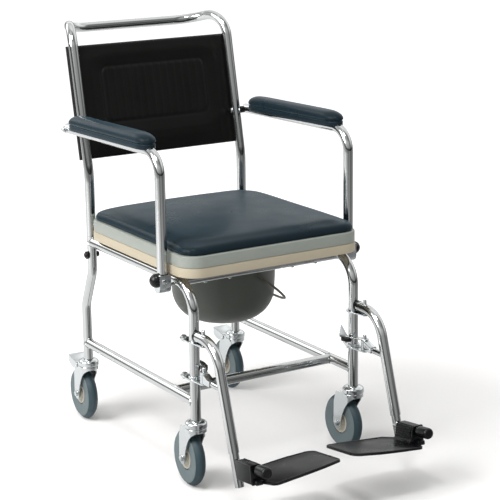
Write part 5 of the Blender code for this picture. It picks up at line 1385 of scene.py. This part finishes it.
def build_hanger(word, side, sides):
    """Bent hanger tube with its strut, hinge sleeve and end ring."""
    x, body = side * HANGER_X, "footrest_" + word
    rear_y = FRONT_LEG_Y - HANGER_BACK
    end, down = hanger_end(side)
    low = LOWER_PLATE_Z + GAP
    strut_z = low + STRUT_R + GAP
    bm = bmesh.new()
    sweep(bm, bent([(x, rear_y, HANGER_Z), (x, HANGER_CORNER_Y, HANGER_Z), end], [HANGER_BEND_R]),
          TUBE_R, sides)
    sweep(bm, [(x, SWING_Y, strut_z), (x, hanger_y(strut_z), strut_z)], STRUT_R, 24)
    bore = bar_tool(end - down * (EXTENSION_INSIDE + 0.0004), end + down * 0.02, EXTENSION_R + GAP)
    inner = HINGE_PIN_R + 0.0004
    hole = bar_tool((x, SWING_Y, low - 0.01), (x, SWING_Y, HANGER_Z + 0.022), inner)
    finish(bm, "bent_hanger_" + word, body, "chrome", ["footrest_hanger_" + word],
           cuts=[bore, hole])
    rim, high = SLEEVE_R - 0.0005, low + SLEEVE_HEIGHT
    ring = [(inner, low), (rim, low), (SLEEVE_R, low + 0.0006), (SLEEVE_R, high - 0.0006),
            (rim, high), (inner, high)]
    bm = bmesh.new()
    revolve(bm, ring, Matrix.Translation((x, SWING_Y, 0.0)), 32, closed=True)
    gusset = moved(SWING_Y, low, ((-0.0070, 0.0010), (-0.0070, 0.0220), (-0.0120, 0.0205),
                                  (-0.0240, 0.0150), (-0.0330, 0.0145), (-0.0330, 0.0010)))
    outline_solid(bm, gusset, -0.0078, 0.0078, Matrix.Translation((x, 0, 0)) @ SIDE_VIEW,
                  rim=0.0010)
    finish(bm, "hanger_hinge_sleeve_" + word, body, "zinc_plated_steel")
    bm = bmesh.new()
    disc(bm, (x, rear_y - 0.0055, HANGER_Z), (x, rear_y + 0.0018, HANGER_Z), TUBE_R + 0.0009, 40,
         0.0009)
    finish(bm, "hanger_end_plug_" + word, body, "black_plastic")


def build_extension(word, side, sides):
    """The tube that slides in the hanger, with its foot plug and the footplate's pin."""
    x, body = side * HANGER_X, "extension_" + word
    end, down = hanger_end(side)
    own = foot_matrix(side)
    foot_end = Vector((x, hanger_y(EXTENSION_END_Z), EXTENSION_END_Z))
    tube([end - down * EXTENSION_INSIDE, foot_end], EXTENSION_R, sides, "sliding_tube_" + word,
         body, "footrest_extension_" + word)
    bm = bmesh.new()
    tube_at = (FOOT.y - hanger_y(FOOT.z)) / math.cos(FOOT_TILT)
    disc(bm, own @ Vector((0, tube_at, 0)), own @ Vector((0, 0.0655, 0)), FOOT_PIN_R, 24)
    disc(bm, own @ Vector((0, tube_at, 0)), own @ Vector((0, -0.0288, 0)), 0.0075)
    finish(bm, "footplate_pin_" + word, body, "zinc_plated_steel")
    bm = bmesh.new()
    turn = Vector((0, 0, 1)).rotation_difference(down).to_matrix().to_4x4()
    revolve(bm, [(0.0, 0.0012), (0.0050, 0.0010), (0.0080, 0.0002), (0.0093, -0.0012),
                 (EXTENSION_R, -0.0030), (0.0090, -0.0030), (0.0, -0.0030)],
            Matrix.Translation(foot_end) @ turn, 32)
    finish(bm, "sliding_tube_plug_" + word, body, "grey_plastic")


BARREL = [(0.0040, 0.0096), (0.0085, 0.0080), (0.0112, 0.0040), (0.0124, -0.0015),
          (0.0132, -0.0070), (0.0142, -0.0125), (0.0160, -0.0180), (0.0192, -0.0225),
          (0.0236, -0.0255)]


def hinge_block(bm, own):
    """Block on the footplate's pin: square outside, ribbed and flared towards the plate inside."""
    turn = own @ Matrix.Rotation(math.pi / 2, 4, "X")
    for grown, near, far in ((0.0, -0.0270, 0.0285), (0.0013, -0.0312, -0.0284)):
        low, edge, top = -0.0310 - grown * 0.2, -0.0135 - grown, 0.0096 + grown
        outline = [(edge + 0.0030, low), (0.0236 + grown, low)]
        outline += [(x + grown, z + grown * 0.7) for x, z in BARREL[::-1]]
        outline += arc((edge + 0.0030, top - 0.0030), 0.0030, 90, 180, 4)
        outline += [(edge, low + 0.0030)]
        outline_solid(bm, outline, near, far, turn, holes=[(0.0, 0.0, 0.0046)], rim=0.0006)
    for index in range(7):
        place = (0.5 + index) / 7 * (len(BARREL) - 3)
        first = int(place)
        x, z = Vector(BARREL[first]).lerp(Vector(BARREL[first + 1]), place - first)
        sweep(bm, [own @ Vector((x + 0.0005, -0.0265, z + 0.0003)),
                   own @ Vector((x + 0.0005, 0.0268, z + 0.0003))], 0.0017, 12)


def build_footplate(word, side):
    """Dished footplate on a ribbed hinge block, and the round bumper on its pin."""
    own = foot_matrix(side)
    bm = bmesh.new()
    hinge_block(bm, own)
    block(bm, (-0.0095, 0.0290, -0.0300), (0.0065, 0.0430, -0.0205), own, 0.0016)
    points = [(0.004, -0.0285), (0.020, -0.0440), (0.032, -0.0535), (0.085, -0.0530),
              (0.120, -0.0505), (0.148, -0.0445)]
    points += arc((0.155, -0.0190), 0.0240, -70, -8, 8) + arc((0.1710, 0.0590), 0.0085, 0, 75, 6)
    points += [(0.135, 0.0715), (0.100, 0.0730)] + arc((0.028, 0.0580), 0.0150, 90, 180, 8)
    if side > 0:
        # The left plate's outer part is the right one's turned front to back, 4 mm further out.
        middle_y = 0.0100
        points = [(x + 0.0040, 2 * middle_y - y) if x > 0.04 else (x, y) for x, y in points]
        points = ([(0.004, -0.0285), (0.020, -0.0440), (0.032, -0.0535)]
                  + [p for p in points[::-1] if p[0] > 0.04]
                  + arc((0.028, 0.0580), 0.0150, 90, 180, 8))
    points += [(0.0045, 0.0315)]
    place = own @ Matrix.Translation((0, 0, -0.0276)) @ Matrix.Rotation(-FOOTPLATE_RISE, 4, "Y")
    outline_solid(bm, points, -0.003, 0.0018, place, rim=0.0012, segments=3)
    middle = Vector((0.09, 0.004))
    lip = []
    for point in points:
        step = Vector(point) - middle
        lip.append(place @ Vector((*(middle + step * (1 - 0.0027 / step.length)), 0.0004)))
    sweep(bm, lip, 0.0026, 14, closed=True)
    finish(bm, "moulded_footplate_" + word, "footplate_" + word, "black_plastic",
           ["footplate_" + word])
    start = 0.0321
    turn = own @ Matrix.Translation((0, start, 0)) @ Matrix.Rotation(-math.pi / 2, 4, "X")
    profile = [(0.0045, 0.0020), (0.0088, 0.0020), (0.0088, 0.0062), (0.0102, 0.0066),
               (0.0114, 0.0076), (0.0119, 0.0095), (0.0120, 0.0330), (0.0117, 0.0368),
               (0.0108, 0.0392), (0.0092, 0.0403), (0.0074, 0.0400), (0.0068, 0.0394),
               (0.0, 0.0392), (0.0, 0.0345), (0.0045, 0.0345)]
    bm = bmesh.new()
    revolve(bm, profile, turn, 48, closed=True)
    finish(bm, "round_bumper_" + word, "extension_" + word, "black_plastic",
           ["footrest_bumper_" + word])


def build_latch(word, side):
    """Latch: a thin eye plate on the hinge sleeve, a black jaw beside the leg and a thumb fin."""
    leg, pin = Vector((side * FRAME_X, FRONT_LEG_Y)), Vector((side * HANGER_X, SWING_Y))
    low, inboard = LOWER_PLATE_Z + 0.0236, -side
    inner = leg.x + inboard * 0.0118
    plate = arc(pin, 0.0090, 70, -110, 14) if inboard < 0 else arc(pin, 0.0090, 110, 290, 14)
    plate += moved(inner, leg.y, ((0.0080, -0.0130), (0.0110, 0.0), (0.0030, 0.0),
                                  (0.0010, -0.0130)), inboard)
    bm = bmesh.new()
    outline_solid(bm, plate, low, low + 0.0022, holes=[(pin.x, pin.y, 0.0044)], rim=0.0005)
    finish(bm, "latch_plate_" + word, "latch_" + word, "zinc_plated_steel")
    jaw = moved(inner, leg.y, ((0.0, -0.0120), (0.0050, -0.0165), (0.0110, -0.0140),
                               (0.0180, -0.0030), (0.0185, 0.0050), (0.0110, 0.0070),
                               (0.0030, 0.0060)), inboard)
    bm = bmesh.new()
    outline_solid(bm, jaw, low - 0.0090, low + 0.0012, rim=0.0026, segments=4)
    finish(bm, "latch_handle_" + word, "latch_" + word, "black_plastic", ["latch_lever_" + word])
    # The fin leans back, so its face catches the light from the chair's right.
    flat = Vector((inboard * 0.76, 0.65, 0.0)).normalized()
    out = Vector((-0.58, -0.68, 0.30))
    out = (out - flat * out.dot(flat)).normalized()
    rise = out.cross(flat) if out.cross(flat).z > 0 else flat.cross(out)
    turn = Matrix((flat, rise, out)).transposed().to_4x4()
    turn.translation = Vector((inner + inboard * 0.0040, leg.y - 0.0040, low + 0.0008))
    fin = [(0.0, 0.0), (0.0190, -0.0020), (0.0205, 0.0050), (0.0190, 0.0240), (0.0170, 0.0260),
           (0.0145, 0.0235), (0.0060, 0.0085)]
    bm = bmesh.new()
    outline_solid(bm, fin, -0.0009, 0.0009, turn, rim=0.0004)
    finish(bm, "latch_thumb_fin_" + word, "latch_" + word, "zinc_plated_steel")


def build_footrests(sizes):
    """Brackets, hanger, sliding tube, footplate and latch on each side."""
    for word, side in SIDES.items():
        build_brackets(word, side)
        build_hanger(word, side, sizes.tube_sides)
        build_extension(word, side, sizes.tube_sides)
        build_footplate(word, side)
        build_latch(word, side)


# Studio

def build_studio(studio, colours):
    """Pale paper floor, soft light all round, three soft lights, and the camera."""
    scene = bpy.context.scene
    bm = bmesh.new()
    bmesh.ops.create_grid(bm, x_segments=1, y_segments=1, size=40.0)
    floor = solid(bm, "paper_floor")
    floor.data.materials.append(floor_paint(colours))
    world = bpy.data.worlds.new("studio")
    scene.world = world
    world.use_nodes = True
    tree = world.node_tree
    direction = add(tree, "ShaderNodeTexCoord").outputs["Generated"]
    height = add(tree, "ShaderNodeSeparateXYZ", Vector=direction).outputs["Z"]
    round_about = bands(tree, bearing(tree, direction), (
        (0.0, 0.60), (0.05, 0.95), (0.16, 0.50), (0.25, 0.45), (0.30, 0.20), (0.36, 0.22),
        (0.41, 0.80), (0.50, 1.0), (0.66, 1.0), (0.80, 0.85), (0.91, 0.50), (0.97, 0.55)))
    upward = bands(tree, height, ((0.0, 0.07), (0.08, 0.08), (0.16, 0.55), (0.30, 0.72),
                                  (0.52, 1.0), (0.70, 0.60), (0.85, 0.80), (1.0, 0.9)))
    reflection_bands = mixed(tree, 1.0, round_about, upward, "MULTIPLY")
    mirrored = add(tree, "ShaderNodeLightPath").outputs["Is Glossy Ray"]
    tree.links.new(mixed(tree, mirrored, (1.0, 1.0, 1.0, 1.0), reflection_bands),
                   tree.nodes["Background"].inputs["Color"])
    seen = add(tree, "ShaderNodeLightPath").outputs["Is Camera Ray"]
    plain = ramp(tree, seen, 0.0, 1.0, studio.sky, 1.1)
    tree.links.new(ramp(tree, mirrored, 0.0, 1.0, plain, 1.45),
                   tree.nodes["Background"].inputs["Strength"])
    for name, place, size, power in (("key", (-3.0, 0.1, 2.4), 2.0, studio.key),
                                     ("top", (-0.9, -0.9, 3.0), 0.6, studio.key * 0.18),
                                     ("rim", (-1.2, 3.0, 2.2), 1.6, studio.key * 0.12)):
        light = bpy.data.lights.new(name, "AREA")
        light.size = size
        light.energy = power
        obj = linked(name, light)
        obj.location = place
        aim = Vector((0, 0, 0.4)) - Vector(place)
        obj.rotation_euler = aim.to_track_quat("-Z", "Y").to_euler()
    camera = bpy.data.cameras.new("camera")
    camera.lens = studio.lens
    camera.sensor_width = 36.0
    obj = linked("camera", camera)
    right, up = (0.8505, -0.5260, -0.01266), (0.1395, 0.2022, 0.9694)
    back = (-0.5073, -0.8261, 0.2453)
    turn = Matrix((right, up, back)).transposed().to_4x4()
    obj.matrix_world = Matrix.Translation((-1.8263, -3.0522, 1.3560)) @ turn
    scene.camera = obj
    scene.view_settings.view_transform = "Standard"


def finish_frame():
    """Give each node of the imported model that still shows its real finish."""
    for node in frame["nodes"].values():
        for index, material in enumerate(node.data.materials):
            key = material.name.split(".")[0] if material else ""
            if key in MATERIALS:
                node.data.materials[index] = MATERIALS[key]


# Add-on

class ChairStep:
    """What the steps share: each builds, and stops the run if it added nothing."""

    bl_options = {"REGISTER", "UNDO"}

    def execute(self, context):
        before = len(bpy.data.objects)
        self.build(context.scene)
        if len(bpy.data.objects) == before:
            raise RuntimeError(self.bl_label + " added nothing")
        return {"FINISHED"}


class CHAIR_OT_finishes(bpy.types.Operator):
    """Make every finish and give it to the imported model"""

    bl_idname = "chair.finishes"
    bl_label = "Finishes"

    def execute(self, context):
        make_materials(context.scene.chair_colours)
        finish_frame()
        if not MATERIALS:
            raise RuntimeError("no finishes were made")
        return {"FINISHED"}


class CHAIR_OT_frame(ChairStep, bpy.types.Operator):
    """Build the chromed frame with its weld beads and post bolts"""

    bl_idname = "chair.frame"
    bl_label = "Frame"

    def build(self, scene):
        build_frame(scene.chair_sizes)


class CHAIR_OT_casters(ChairStep, bpy.types.Operator):
    """Build the four casters and the rear brake pedals"""

    bl_idname = "chair.casters"
    bl_label = "Casters"

    def build(self, scene):
        build_casters()


class CHAIR_OT_seat(ChairStep, bpy.types.Operator):
    """Build the commode seat, the board and the cushion"""

    bl_idname = "chair.seat"
    bl_label = "Seat"

    def build(self, scene):
        build_seat_base()
        build_board()
        build_cushion(scene.chair_sizes)


class CHAIR_OT_bucket(ChairStep, bpy.types.Operator):
    """Build the bucket and its bail"""

    bl_idname = "chair.bucket"
    bl_label = "Bucket"

    def build(self, scene):
        build_bucket()


class CHAIR_OT_backrest(ChairStep, bpy.types.Operator):
    """Build the sewn back panel"""

    bl_idname = "chair.backrest"
    bl_label = "Backrest"

    def build(self, scene):
        build_backrest(scene.chair_sizes)


class CHAIR_OT_armrests(ChairStep, bpy.types.Operator):
    """Build both armrests with their pads, brackets and knobs"""

    bl_idname = "chair.armrests"
    bl_label = "Armrests"

    def build(self, scene):
        build_armrests(scene.chair_sizes)


class CHAIR_OT_footrests(ChairStep, bpy.types.Operator):
    """Build both footrests with their brackets and latches"""

    bl_idname = "chair.footrests"
    bl_label = "Footrests"

    def build(self, scene):
        build_footrests(scene.chair_sizes)


class CHAIR_OT_studio(ChairStep, bpy.types.Operator):
    """Build the floor, the light and the camera"""

    bl_idname = "chair.studio"
    bl_label = "Studio"

    def build(self, scene):
        build_studio(scene.chair_studio, scene.chair_colours)


class CHAIR_PT_panel(bpy.types.Panel):
    """Sidebar panel with every step and setting"""

    bl_idname = "CHAIR_PT_panel"
    bl_label = "Commode chair"
    bl_space_type = "VIEW_3D"
    bl_region_type = "UI"
    bl_category = "Commode chair"

    def draw(self, context):
        for step in STEPS:
            self.layout.operator(step.bl_idname)
        for group in ("chair_sizes", "chair_colours", "chair_studio"):
            settings = getattr(context.scene, group)
            for name in settings.__annotations__:
                self.layout.prop(settings, name)


STEPS = (CHAIR_OT_finishes, CHAIR_OT_frame, CHAIR_OT_casters, CHAIR_OT_seat, CHAIR_OT_bucket,
         CHAIR_OT_backrest, CHAIR_OT_armrests, CHAIR_OT_footrests, CHAIR_OT_studio)
CLASSES = (ChairSizes, ChairColours, StudioSettings) + STEPS + (CHAIR_PT_panel,)


def register():
    """Add the settings, the steps and the panel."""
    for cls in CLASSES:
        bpy.utils.register_class(cls)
    bpy.types.Scene.chair_sizes = PointerProperty(type=ChairSizes)
    bpy.types.Scene.chair_colours = PointerProperty(type=ChairColours)
    bpy.types.Scene.chair_studio = PointerProperty(type=StudioSettings)


def unregister():
    """Take away what register added."""
    del bpy.types.Scene.chair_studio, bpy.types.Scene.chair_colours, bpy.types.Scene.chair_sizes
    for cls in reversed(CLASSES):
        bpy.utils.unregister_class(cls)


def main():
    """Run every step in order."""
    register()
    bpy.ops.chair.finishes()
    bpy.ops.chair.frame()
    bpy.ops.chair.casters()
    bpy.ops.chair.seat()
    bpy.ops.chair.bucket()
    bpy.ops.chair.backrest()
    bpy.ops.chair.armrests()
    bpy.ops.chair.footrests()
    bpy.ops.chair.studio()


if __name__ == "__main__":
    main()
